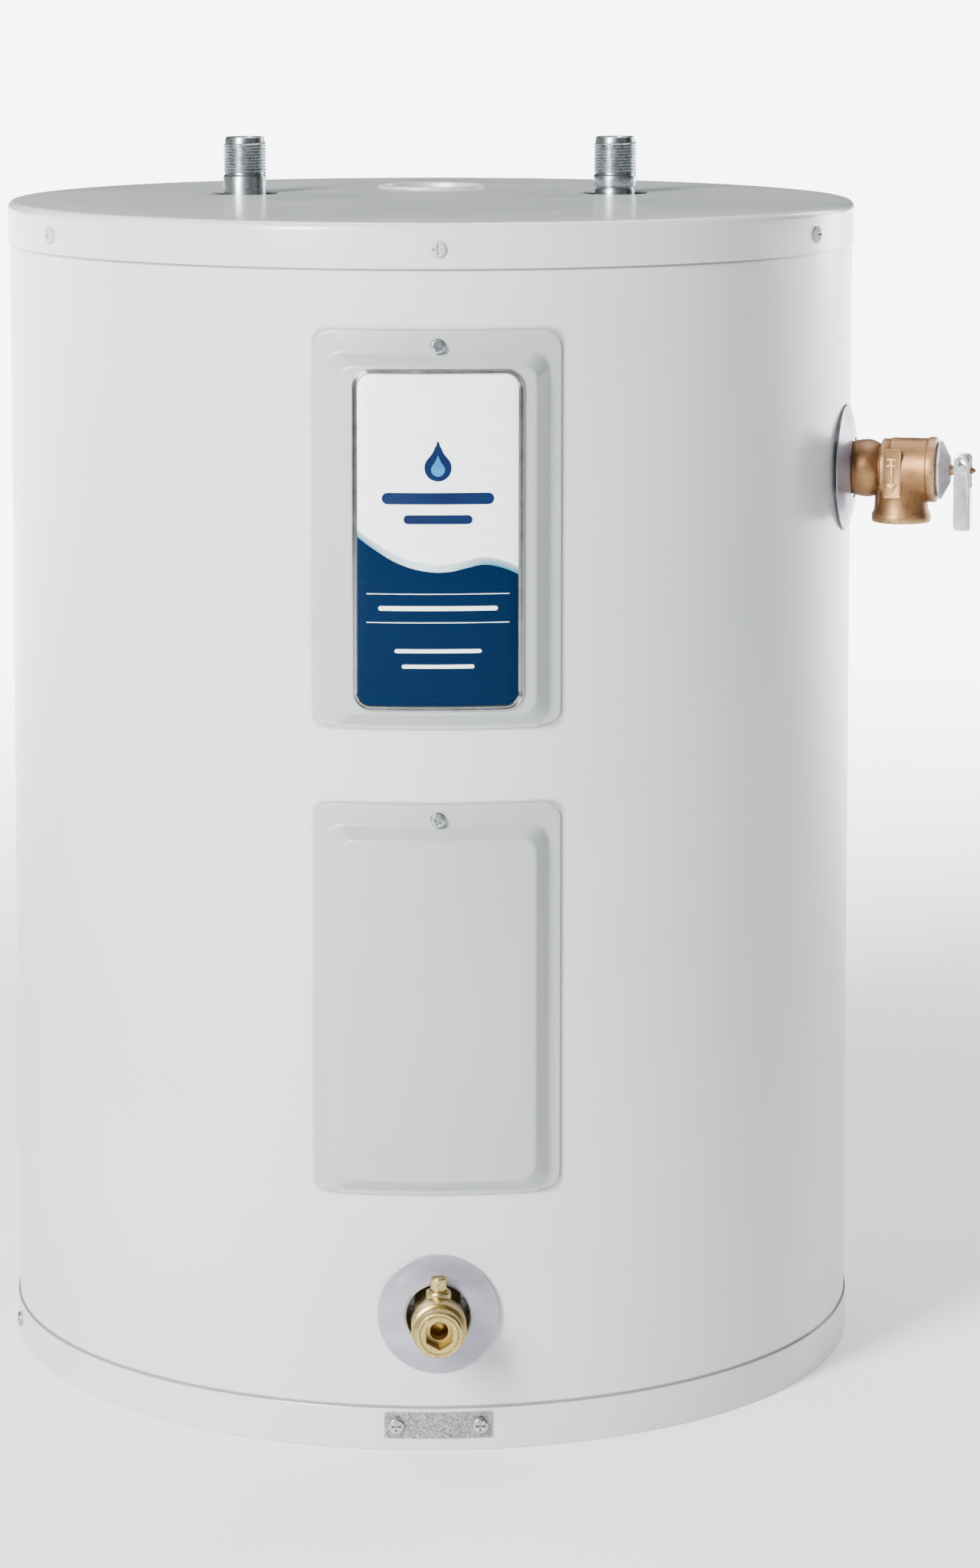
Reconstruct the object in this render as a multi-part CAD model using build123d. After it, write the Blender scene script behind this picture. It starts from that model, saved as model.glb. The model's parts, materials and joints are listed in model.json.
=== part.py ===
from build123d import *

import math
import os

# A short floor-standing electric tank water heater with its pipes on top.
# Origin: centre of the base on the floor. +Z up, the service covers face -Y. Millimetres.

# casing
jacket_r = 254.0  # a 20 inch jacket
sheet = 0.8
skirt_gap = 0.2  # between the jacket and the skirts of the two pans
pan_r = jacket_r + skirt_gap + 1.0
height = 692.0  # floor to the top of the lid
lid_skirt = 25.4
lid_edge_r = 4.5
base_skirt = 24.3

# tank
tank_r = 200.0
tank_wall = 2.4
tank_low = 50.0
tank_high = 612.0
tank_top = 650.0
dish_low = 58.0
dish_top = 83.0

# pipes on top: 3/4 inch nipples
nipple_x = 114.35
nipple_y = 57.0
nipple_r = 13.335
nipple_bore_r = 10.2
nipple_top = 727.0
thread_low = 703.5
thread_high = 723.0
thread_runout = 2.0  # a groove below the thread
thread_root_r = 12.6
barrel_r = 13.2
lid_hole_r = 21.5
spud_r = 22.0
spud_bore_r = 13.4

# wiring cup at the back of the lid
cup_x = 2.0
cup_y = 131.0
cup_flange_r = 34.5
cup_r = 31.0
cup_floor = 679.0
knockout_r = 11.1

# service covers and the bays behind them
cover_w = 137.0
cover_h = 220.2
cover_z = {"upper": 522.7, "lower": 258.85}
cover_in_r = jacket_r + 0.3
cover_sheet = 0.9
emboss_r = 263.5
emboss_taper = 35.0
emboss_w = 129.0
emboss_drop = 5.83  # the raised panel sits this much below the cover's middle
emboss_h = 220.3
bay_w = 100.0
bay_h = 190.0
bay_drop = 3.7
element_drop = 64.0  # the element sits this far below the bay's middle
wire_r = 1.7
wire_y = -226.0

# badge on the upper cover
badge_w = 95.0
badge_h = 189.6
badge_z = 517.6
badge_corner = 10.6
badge_rim = 3.2

# relief valve on the right side, seen from the front
relief_angle = -15.0
relief_z = 535.0
relief_outlet_s = 287.7
relief_outlet_r = 12.7
relief_low = relief_z - 31.5
bonnet_end = 316.5
lever_pin_s = bonnet_end + 7.6
lever_half = 4.85
lever_pin_r = 1.6

# drain valve at the bottom of the front
drain_z = 79.0
drain_face = 294.0
drain_hose_r = 13.45
drain_stem_t = 268.0
drain_ball_r = 8.0
drain_stem_r = 4.55
clear = 0.3


def rod(r, low, high):
    return Pos(0, 0, low) * Cylinder(r, high - low, align=(Align.CENTER, Align.CENTER, Align.MIN))


def tube(r_out, r_in, low, high):
    return rod(r_out, low, high) - rod(r_in, low - 1, high + 1)


def turned(*points):
    # a solid of revolution about Z from a closed outline of (radius, height) corners
    return revolve(Plane.XZ * make_face(Polyline(*points, close=True)), Axis.Z)


def hexagon(across, low, high, turn=0):
    sketch = RegularPolygon(across / 2, 6, major_radius=False, rotation=turn)
    return Pos(0, 0, low) * extrude(sketch, high - low)


def block(x0, x1, y0, y1, z0, z1):
    return Pos((x0 + x1) / 2, (y0 + y1) / 2, (z0 + z1) / 2) * Box(x1 - x0, y1 - y0, z1 - z0)


def forward(shape, z, x=0):
    # a shape drawn about +Z is laid along -Y, out of the front of the heater
    return Pos(x, 0, z) * Rot(90, 0, 0) * shape


def outward(shape, angle, z):
    # a shape drawn about +Z is laid out from the tank's axis at an angle from +X
    return Pos(0, 0, z) * Rot(0, 0, angle) * Rot(0, 90, 0) * shape


def on_relief(shape):
    # a shape drawn with +X along the relief valve, about its own height
    return Pos(0, 0, relief_z) * Rot(0, 0, relief_angle) * shape


def front_prism(sketch, z, depth=300.0):
    return Pos(0, 0, z) * extrude(Plane.XZ * sketch, depth)


# ---- casing ----


lid_screw_z = height - 14.5
lid_screw_angles = [-90 + 60 * i for i in range(6)]
base_screw_z = 13.0
base_screw_angles = [11, 101, 191]
plate_w, plate_h, plate_z = 60.7, 14.9, 15.0
plate_screw_x = 23.6
cover_screw_z = {"upper": 624.0, "lower": 360.15}


def small_holes(r):
    holes = [outward(rod(r, 240, 260), a, lid_screw_z) for a in lid_screw_angles]
    holes += [outward(rod(r, 240, 260), a, base_screw_z) for a in base_screw_angles]
    holes += [forward(rod(r, 240, 260), plate_z, x) for x in (-plate_screw_x, plate_screw_x)]
    return holes


def bay_box(which, grow=0.0):
    z = cover_z[which] - bay_drop
    w, h = bay_w / 2 + grow, bay_h / 2 + grow
    return block(-w, w, -260, -190, z - h, z + h)


def make_jacket():
    shell = tube(jacket_r, jacket_r - sheet, 1.0, height - 6)
    cuts = small_holes(1.7) + [bay_box("upper"), bay_box("lower")]
    cuts += [forward(rod(2.5, 240, 260), z) for z in cover_screw_z.values()]
    cuts += [outward(rod(20, 230, 270), relief_angle, relief_z)]
    cuts += [forward(rod(19, 230, 270), drain_z)]
    return shell - cuts


def make_top_pan():
    low, under = height - lid_skirt, height - sheet
    pan = turned((0, under), (0, height), (pan_r, height), (pan_r, low), (pan_r - 1, low), (pan_r - 1, under))
    top_edge = pan.edges().filter_by(GeomType.CIRCLE).filter_by(lambda e: abs(e.radius - pan_r) < 0.01)
    pan = fillet(top_edge.sort_by(Axis.Z)[-1], lid_edge_r)
    inner = pan.edges().filter_by(GeomType.CIRCLE).filter_by(lambda e: abs(e.radius - pan_r + 1) < 0.01)
    pan = fillet(inner.sort_by(Axis.Z)[-1], lid_edge_r - 0.9)
    cuts = [Pos(x, nipple_y) * rod(lid_hole_r, 680, 700) for x in (-nipple_x, nipple_x)]
    cuts += [Pos(cup_x, cup_y) * rod(cup_r + 0.3, 680, 700)]
    return pan - cuts - small_holes(1.7)


def make_base_pan():
    skirt = [(pan_r, 0), (pan_r, base_skirt), (pan_r - 1, base_skirt), (pan_r - 1, sheet)]
    pan = turned((0, 0), *skirt, (0, sheet))
    return pan - small_holes(1.7)


def pan_head(r, rise):
    # a low domed head with a cross recess, drawn about +Z from height 0
    head = rod(r, 0, rise)
    head = fillet(head.edges().sort_by(Axis.Z)[-1], rise * 0.7)
    cross = block(-r * 0.5, r * 0.5, -0.5, 0.5, rise - 1.0, rise + 1)
    return head - cross - Rot(0, 0, 90) * cross


def sheet_screw(seat, r=4.8, rise=2.0):
    return Pos(0, 0, seat) * pan_head(r, rise) + rod(1.6, seat - 10, seat + 0.2)


def make_lid_screws():
    return Compound([outward(sheet_screw(pan_r), a, lid_screw_z) for a in lid_screw_angles])


def make_base_screws():
    return Compound([outward(sheet_screw(pan_r, 4.4), a, base_screw_z) for a in base_screw_angles])


def make_splice_plate():
    outline = RectangleRounded(plate_w, plate_h, 0.8)
    plate = tube(pan_r + 1.1, pan_r, 0, 40) & front_prism(outline, plate_z)
    return plate - small_holes(1.7)


def make_splice_screws():
    seat = pan_r + 0.6
    return Compound([forward(sheet_screw(seat, 4.6), plate_z, x) for x in (-plate_screw_x, plate_screw_x)])


# ---- tank ----


top_edge_z = tank_high + tank_wall
dish_edge_z = dish_low + tank_wall
bow = 0.76  # how full a dished head is at half its radius


def dished(r, edge, crown):
    return ThreePointArc((0, crown), (r * 0.5, edge + (crown - edge) * bow), (r, edge))


def cap_shell(r, edge, crown, thick):
    # a shallow dished disc of even thickness
    sides = [Line((0, crown - thick), (0, crown)), Line((r, edge - thick), (r, edge))]
    faces = [dished(r, edge - thick, crown - thick), dished(r, edge, crown)]
    return revolve(Plane.XZ * make_face(faces + sides), Axis.Z)


def tank_solid():
    # the space that the whole tank takes, with the hollow under its bottom head left out
    inner_r = tank_r - tank_wall
    walls = [
        Line((0, dish_top), (0, tank_top)),
        dished(tank_r, top_edge_z, tank_top),
        Line((tank_r, top_edge_z), (tank_r, tank_low)),
        Line((tank_r, tank_low), (inner_r, tank_low)),
        Line((inner_r, tank_low), (inner_r, dish_low)),
        dished(inner_r, dish_low, dish_top),
    ]
    return revolve(Plane.XZ * make_face(walls), Axis.Z)


element_z = {which: cover_z[which] - bay_drop - element_drop for which in cover_z}


def tank_holes(r_spud):
    holes = [outward(rod(r_spud, 150, 215), relief_angle, relief_z), forward(rod(r_spud, 150, 215), drain_z)]
    return holes + [forward(rod(24, 150, 215), z) for z in element_z.values()]


def make_tank_shell():
    return tube(tank_r, tank_r - tank_wall, tank_low, tank_high) - tank_holes(spud_r)


def make_tank_top_head():
    head = cap_shell(tank_r, top_edge_z, tank_top, tank_wall)
    return head - [Pos(x, nipple_y) * rod(spud_r, 600, 680) for x in (-nipple_x, nipple_x)]


def make_tank_bottom_head():
    head = cap_shell(tank_r - tank_wall, dish_edge_z, dish_top + tank_wall, tank_wall)
    return head - forward(rod(spud_r, 150, 215), drain_z)


def make_tank_support():
    return tube(tank_r, tank_r - 3, sheet, tank_low)


def make_pipe_spuds():
    top = [Pos(x, nipple_y) * tube(spud_r, spud_bore_r, 622, 648) for x in (-nipple_x, nipple_x)]
    relief = outward(tube(spud_r, spud_bore_r, 195, 214), relief_angle, relief_z)
    return Compound(top + [relief, forward(tube(spud_r, spud_bore_r, 195, 214), drain_z)])


def make_element_spuds():
    return Compound([forward(tube(24, 17, 194, 210), z) for z in element_z.values()])


# ---- foam, bays and wiring ----


conduit_x = 20.0
conduit_z = 664.0
link_x = (-32.0, -24.0)


def conduit_path(x, start_y, end_z):
    return FilletPolyline((x, start_y, conduit_z), (x, wire_y, conduit_z), (x, wire_y, end_z), radius=25)


def swept(r, path):
    return sweep(Plane(path @ 0, z_dir=path % 0) * Circle(r), path=path)


def can_solid(r, low):
    return Pos(cup_x, cup_y) * rod(r, low, 690)


def link_slot():
    low, high = cover_z["lower"] - bay_drop + bay_h / 2, cover_z["upper"] - bay_drop - bay_h / 2
    return block(link_x[0] - 3, link_x[1] + 3, wire_y - 3, wire_y + 3, low - 3, high + 3)


def make_foam():
    body = rod(jacket_r - sheet - 0.1, sheet + 0.1, 690)
    cuts = [tank_solid(), rod(tank_r, 0, tank_low) - rod(tank_r - 3, 0, tank_low)]
    cuts += [bay_box("upper", 2), bay_box("lower", 2), link_slot(), can_solid(32.5, 650)]
    cuts += [Pos(x, nipple_y) * rod(spud_r, 600, 700) for x in (-nipple_x, nipple_x)]
    cuts += [swept(8, conduit_path(conduit_x, 112, 610))]
    cuts += [outward(rod(spud_r, 190, 270), relief_angle, relief_z), forward(rod(spud_r, 190, 270), drain_z)]
    cuts += [forward(rod(3.2, 238, 260), z) for z in cover_screw_z.values()]
    return body - cuts - small_holes(1.7)


def make_bay_liners():
    ring = tube(jacket_r - sheet - 0.1, tank_r + 0.2, 100, 660)
    liners = [(bay_box(which, 2) - bay_box(which)) & ring for which in ("upper", "lower")]
    cuts = [link_slot(), swept(8.1, conduit_path(conduit_x, 104, 600))]
    cuts += [forward(rod(3.2, 238, 260), z) for z in cover_screw_z.values()]
    return Compound([liner - cuts for liner in liners])


def make_wiring_cup():
    top = height + 1.6
    lip = [(cup_flange_r, height), (cup_flange_r, top), (cup_r - 1, top), (cup_r - 1, height)]
    rim = turned((cup_r, height), *lip)
    rim = fillet(rim.edges().filter_by(lambda e: e.center().Z > height + 1.5), 0.7)
    wall = tube(cup_r, cup_r - 1, cup_floor, height)
    floor = tube(cup_r, knockout_r, cup_floor, cup_floor + 1.2)
    return Pos(cup_x, cup_y) * (rim + wall + floor)


def make_junction_can():
    can = can_solid(32.5, 650) - can_solid(31.3, 651.5)
    return can - forward(rod(8.0, -125, -90), conduit_z, conduit_x)


def make_wire_conduit():
    return swept(8, conduit_path(conduit_x, 104, 612)) - swept(6.4, conduit_path(conduit_x, 105, 611))


def make_supply_wires():
    return Compound([swept(wire_r, conduit_path(conduit_x + d, 120, 600)) for d in (-2.2, 2.2)])


thermostat_h = {"upper": 92.0, "lower": 62.0}
thermostat_z = {"upper": cover_z["upper"] + 27.0, "lower": cover_z["lower"] + 12.0}


def make_link_wires():
    low = thermostat_z["lower"] + thermostat_h["lower"] / 2 + 3
    high = thermostat_z["upper"] - thermostat_h["upper"] / 2 - 3
    return Compound([Pos(x, wire_y) * rod(wire_r, low, high) for x in link_x])


def make_element_leads():
    leads = []
    for which in cover_z:
        low = element_z[which] + 14
        high = thermostat_z[which] - thermostat_h[which] / 2 - 0.5
        leads += [Pos(x, wire_y) * rod(wire_r, low, high) for x in (-7, 7)]
    return Compound(leads)


# ---- elements and thermostats ----


def make_element_gaskets():
    return Compound([forward(tube(23, 16.5, 210, 213), z) for z in element_z.values()])


def make_element_head(which):
    head = hexagon(38.1, 213, 221) + rod(16.4, 198, 213) + rod(12, 221, 227.4)
    head = head - [Pos(x, 0) * rod(4.0, 190, 213.4) for x in (-9, 9)]
    return forward(head - block(-12, 12, -0.6, 0.6, 225.5, 230), element_z[which])


def make_element_loop(which):
    far = 60.0
    bend = ThreePointArc((-9, far), (0, far + 9), (9, far))
    wire = Wire([Line((-9, -213.4), (-9, far)), bend, Line((9, far), (9, -213.4))])
    loop = sweep(Plane((-9, -213.4, 0), z_dir=(0, 1, 0)) * Circle(3.9), path=wire)
    return Pos(0, 0, element_z[which]) * loop


dial_x = 14.0
dial_drops = {"upper": 30.0, "lower": 14.0}
reset_rise = 30.0
thermostat_front = 223.0


def make_thermostat(which):
    z, half = thermostat_z[which], thermostat_h[which] / 2
    case = block(-28, 28, -thermostat_front, -201.5, z - half, z + half)
    case = chamfer(case.edges().filter_by(Axis.Z).group_by(Axis.Y)[0], 1.5)
    case -= forward(rod(7.4, thermostat_front - 2, 230), z - dial_drops[which], dial_x)
    if which == "upper":
        case -= forward(rod(4.0, thermostat_front - 8, 230), z + reset_rise)
    return case


def terminal_spots(which):
    z, half = thermostat_z[which], thermostat_h[which] / 2
    return [(x, z + s * (half - 9)) for x in (-19, 19) for s in (-1, 1) if (x, s) != (19, -1)]


def make_terminal_screws():
    screws = []
    for which in cover_z:
        for x, z in terminal_spots(which):
            screws.append(forward(Pos(0, 0, thermostat_front) * pan_head(3.4, 1.6), z, x))
    return Compound(screws)


def make_thermostat_brackets():
    brackets = []
    for which in cover_z:
        z, half = thermostat_z[which], thermostat_h[which] / 2
        plate = block(-33, 33, -201.5, -200.4, z - half + 6, z + half - 6)
        arms = [block(s * 30.6 - 1, s * 30.6 + 1, -216, -201.5, z - 8, z + 8) for s in (-1, 1)]
        brackets.append(plate + arms)
    return Compound(brackets)


def make_dial(which):
    dial = rod(7.0, thermostat_front - 1.7, thermostat_front + 3)
    dial = fillet(dial.edges().sort_by(Axis.Z)[-1], 0.8)
    dial -= block(-5.5, 5.5, -0.7, 0.7, thermostat_front + 1.6, 240)
    return forward(dial, thermostat_z[which] - dial_drops[which], dial_x)


def make_reset_button():
    button = rod(3.6, thermostat_front - 5, thermostat_front + 3.4)
    button = fillet(button.edges().sort_by(Axis.Z)[-1], 1.0)
    return forward(button, thermostat_z["upper"] + reset_rise)


# ---- covers ----


def rounded(w, h, top_r, low_r):
    sketch = Rectangle(w, h)
    sketch = fillet(sketch.vertices().sort_by(Axis.Y)[-2:], top_r)
    return fillet(sketch.vertices().sort_by(Axis.Y)[:2], low_r)


def embossed(inset, r, edge):
    # the raised panel of a cover as a solid, its crest rounded
    sketch = RectangleRounded(emboss_w - 2 * inset, emboss_h - 2 * inset, 11 - inset)
    prism = Pos(0, -244, -emboss_drop) * extrude(Plane.XZ * sketch, 30, taper=emboss_taper)
    panel = prism & rod(r, -150, 150)
    crest = panel.edges().filter_by(lambda e: math.hypot(e.center().X, e.center().Y) > r - 1.5)
    return fillet(crest, edge)


def make_cover(which):
    outline = rounded(cover_w, cover_h, 5.5, 9)
    flange = tube(cover_in_r + cover_sheet, cover_in_r, -150, 150) & extrude(Plane.XZ * outline, 300)
    tab = RectangleRounded(114, 9, 1.2)
    flange += tube(cover_in_r + cover_sheet, cover_in_r, -150, 150) & front_prism(tab, -cover_h / 2 + 3.2)
    cover = flange + (embossed(0, emboss_r, 3.5) - rod(cover_in_r, -150, 150))
    cover -= embossed(1.1, emboss_r - cover_sheet, 2.6)
    cover = Pos(0, 0, cover_z[which]) * cover
    return cover - forward(rod(2.0, 230, 260), cover_screw_z[which])


def make_cover_screw(which):
    seat = cover_in_r + cover_sheet
    screw = hexagon(7, seat + 0.8, seat + 3.6) + rod(4.4, seat, seat + 0.9) + rod(2.0, 243, seat + 0.1)
    cross = block(-2.2, 2.2, -0.5, 0.5, seat + 2.6, seat + 5)
    return forward(screw - cross - Rot(0, 0, 90) * cross, cover_screw_z[which])


def make_cover_pad(which):
    # the pad hangs from the cover and fills the front of the bay
    pad = block(-45, 45, -262.2, -237, cover_z[which] - 96, cover_z[which] + 86)
    inside = embossed(1.6, emboss_r - cover_sheet - 0.3, 2.6)
    return pad & Pos(0, 0, cover_z[which]) * inside


def badge_prism(inset):
    sketch = RectangleRounded(badge_w - 2 * inset, badge_h - 2 * inset, badge_corner - inset)
    return front_prism(sketch, badge_z)


def make_badge_frame():
    ring = tube(emboss_r + 1.8, emboss_r, 300, 700) & (badge_prism(0) - badge_prism(badge_rim))
    groove = tube(emboss_r + 3, emboss_r + 1.3, 300, 700) & (badge_prism(1.2) - badge_prism(2.0))
    return ring - groove


def make_badge_plate():
    return tube(emboss_r + 0.9, emboss_r, 300, 700) & badge_prism(badge_rim)


# ---- pipes on top ----


def threaded_end():
    # from the run-out groove up to the mouth, with the thread as a plain cylinder
    start = thread_low - thread_runout
    return [
        (barrel_r, start), (thread_root_r, start), (thread_root_r, thread_low), (nipple_r, thread_low),
        (nipple_r, thread_high), (12.0, nipple_top - 1.5), (11.0, nipple_top), (nipple_bore_r, nipple_top),
    ]


def make_cold_nipple():
    low_end = [(nipple_bore_r, 628), (nipple_r, 628), (nipple_r, 650), (barrel_r, 650), (barrel_r, 687)]
    groove = [(12.4, 691.5), (12.4, 694.3), (11.7, 694.3), (11.7, 696.3), (barrel_r, 696.3)]
    return Pos(nipple_x, nipple_y) * turned(*low_end, *groove, *threaded_end())


def make_hot_nipple():
    low_end = [(nipple_bore_r, 628), (nipple_r, 628), (nipple_r, 650), (barrel_r, 650)]
    return Pos(-nipple_x, nipple_y) * turned(*low_end, *threaded_end())


def make_nipple_gaskets():
    return Compound([Pos(x, nipple_y) * tube(21.8, 13.5, 680, 688.5) for x in (-nipple_x, nipple_x)])


def make_dip_tube():
    dip = tube(8.0, 6.5, 100, 700) + tube(10.1, 6.5, 697, 700)
    return Pos(nipple_x, nipple_y) * dip


def make_anode_rod():
    return Pos(-nipple_x, nipple_y) * tube(9.5, 1.6, 150, 600)


def make_anode_core():
    return Pos(-nipple_x, nipple_y) * rod(1.6, 145, 655)


def make_anode_carrier():
    carrier = tube(10.1, 1.6, 640, 655)
    ports = [Rot(0, 0, 120 * i) * Pos(6, 0) * rod(2.4, 630, 660) for i in range(3)]
    return Pos(-nipple_x, nipple_y) * (carrier - ports)


# ---- relief valve ----


def lying(shape):
    return on_relief(Rot(0, 90, 0) * shape)


relief_seat_r = 15.0
relief_inlet_r = 8.2


def relief_outline():
    bulge = ThreePointArc((15.6, 258.5), (17.2, 267.2), (14.4, 275.2))
    barrel = [(14.4, 275.2), (14.6, 276), (17.9, 276), (17.9, 282), (18.6, 282), (18.6, 303.6)]
    rim = [(19.45, 304.6), (19.45, 308.2), (18.4, 309.4), (relief_seat_r, 309.4)]
    inside = [(relief_seat_r, 284), (7, 284), (7, 281), (relief_inlet_r, 281), (relief_inlet_r, 198)]
    inlet = [(nipple_r, 198), (nipple_r, 226), (15, 230), (15, 254), (15.6, 258.5)]
    return make_face([bulge, Polyline(*barrel, *rim, *inside, *inlet)])


def make_relief_body():
    body = Rot(0, 90, 0) * revolve(Plane.XZ * relief_outline(), Axis.Z)
    low = relief_low - relief_z
    outlet = turned(
        (0, low), (17, low), (17.6, low + 0.8), (17.6, low + 4), (16.4, low + 6.5),
        (15.8, low + 12), (15.9, -8), (0, -8),
    )
    body += Pos(relief_outlet_s, 0, 0) * outlet
    pad = Pos(284.5, -17.2, -1) * Box(10.5, 5.2, 29.4)
    body += fillet(pad.edges().filter_by(Axis.Y), 1.4)
    body -= Rot(0, 90, 0) * rod(relief_seat_r, 284, 312)
    thread = rod(relief_outlet_r, low - 1, low + 16)
    way_out = thread + rod(relief_outlet_r + 0.5, low + 16, low + 18) + rod(9, low + 16, 0)
    body -= Pos(relief_outlet_s, 0, 0) * way_out
    return on_relief(body)


def make_relief_probe():
    ports = [Pos(x, 0) * rod(1.2, 190, 210) for x in (-5.8, 5.8)]
    return lying(rod(3.5, 62, 200) + rod(8.1, 198, 203) - ports)


lift_rod_r = 3.0


def make_relief_bonnet():
    bonnet = turned(
        (lift_rod_r + clear, 300), (14.9, 300), (14.9, 310.8), (17.3, 310.8), (17.3, 311.6),
        (8.5, bonnet_end), (lift_rod_r + clear, bonnet_end),
    )
    return lying(bonnet)


def make_relief_stem():
    tip = lever_pin_s + 8
    stem = rod(10, 284.3, 287.5) + rod(lift_rod_r, 284.3, lever_pin_s + 3)
    stem += turned((0, tip - 6), (2.2, tip - 6), (2.2, tip - 2.6), (0.4, tip), (0, tip))
    stem = Rot(0, 90, 0) * stem
    stem -= Pos(lever_pin_s, 0, 0) * Rot(90, 0, 0) * Cylinder(lever_pin_r, 20)
    return on_relief(stem)


def make_relief_spring():
    coil_r, wire, start, turns_high = 6.2, 0.9, 288.8, 9.6
    path = Helix(pitch=2.4, height=turns_high, radius=coil_r)
    coil = sweep(Plane(path @ 0, z_dir=path % 0) * Circle(wire), path=path, is_frenet=True)
    return lying(Pos(0, 0, start + 0.4) * coil)


def make_lever_pin():
    heads = [Pos(0, 0, z) * Cylinder(2.6, 1.0) for z in (-6.4, 6.4)]
    pin = Cylinder(lever_pin_r, 13.6) + heads
    return on_relief(Pos(lever_pin_s, 0, 0) * Rot(90, 0, 0) * pin)


def make_relief_lever():
    top, low = 9.7, -35.5
    half = lever_half
    ear = Pos(0, top - half) * Circle(half)
    arm = Pos(0, (top - half + low) / 2) * Rectangle(2 * half, top - half - low)
    arm = fillet(arm.vertices().sort_by(Axis.Y)[0], 2.5)
    side = ear + arm - Circle(lever_pin_r + clear)
    flange = extrude(Plane.XZ * side, 1.2)
    lever = Pos(0, -4.2, 0) * flange + Pos(0, 5.4, 0) * flange
    lever += block(half - 1.2, half, -5.4, 5.4, low, -10)
    return on_relief(Pos(lever_pin_s, 0, 0) * lever)


def make_escutcheon(r, hole_r, rise, hub_r):
    seat = jacket_r + 0.3
    return turned(
        (hole_r, seat + rise - 1.6), (hub_r - 0.4, seat + rise - 1.6), (r - 1.6, seat), (r, seat),
        (r, seat + 0.6), (hub_r, seat + rise), (hole_r, seat + rise),
    )


# ---- drain valve ----


def make_drain_body():
    t = drain_stem_t
    body = turned((0, 198), (nipple_r, 198), (nipple_r, 226), (12.9, 226), (12.9, 260), (0, 260))
    collar = [(0, 272), (15.4, 272), (15.4, 285), (drain_hose_r, 286), (drain_hose_r, drain_face - 1)]
    body += hexagon(26, 257, 273, 30) + turned(*collar, (12.4, drain_face), (0, drain_face))
    body = forward(body, drain_z) + Pos(0, -t, drain_z) * rod(7.05, 0, 18)
    body -= forward(rod(5.2, 190, 300) + hexagon(14.5, 284.5, 300, 30), drain_z)
    body -= forward(rod(7.4, t - 8.6, t + 8.6), drain_z)
    body -= Pos(0, -t, drain_z) * (Sphere(drain_ball_r + clear) + rod(drain_stem_r + clear, 5, 30))
    body -= Pos(0, -t, drain_z) * rod(5.9, 11, 16)
    return body


def make_drain_seats():
    ball = Pos(0, 0, drain_stem_t) * Sphere(drain_ball_r + 0.08)
    rings = [tube(7.35, 5.3, drain_stem_t + low, drain_stem_t + low + 4) for low in (-8.6, 4.6)]
    return Compound([forward(ring - ball, drain_z) for ring in rings])


def make_drain_packing():
    return Pos(0, -drain_stem_t, drain_z) * tube(5.85, 4.63, 11.1, 15.9)


def make_drain_ball():
    ball = Sphere(drain_ball_r) - Rot(0, 90, 0) * Cylinder(5.0, 30) - rod(4.4, 6.4, 12)
    return Pos(0, -drain_stem_t, drain_z) * ball


def make_drain_stem():
    stem = rod(4.4, 6.4, 9) + rod(drain_stem_r, 8.2, 25.3)
    stem = stem - block(-6, 6, -0.7, 0.7, 23.3, 30)
    stem = chamfer(stem.edges().filter_by(GeomType.CIRCLE).sort_by(Axis.Z)[-2:], 0.5)
    return Pos(0, -drain_stem_t, drain_z) * stem


# ---- every sub-part by its node name ----


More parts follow.
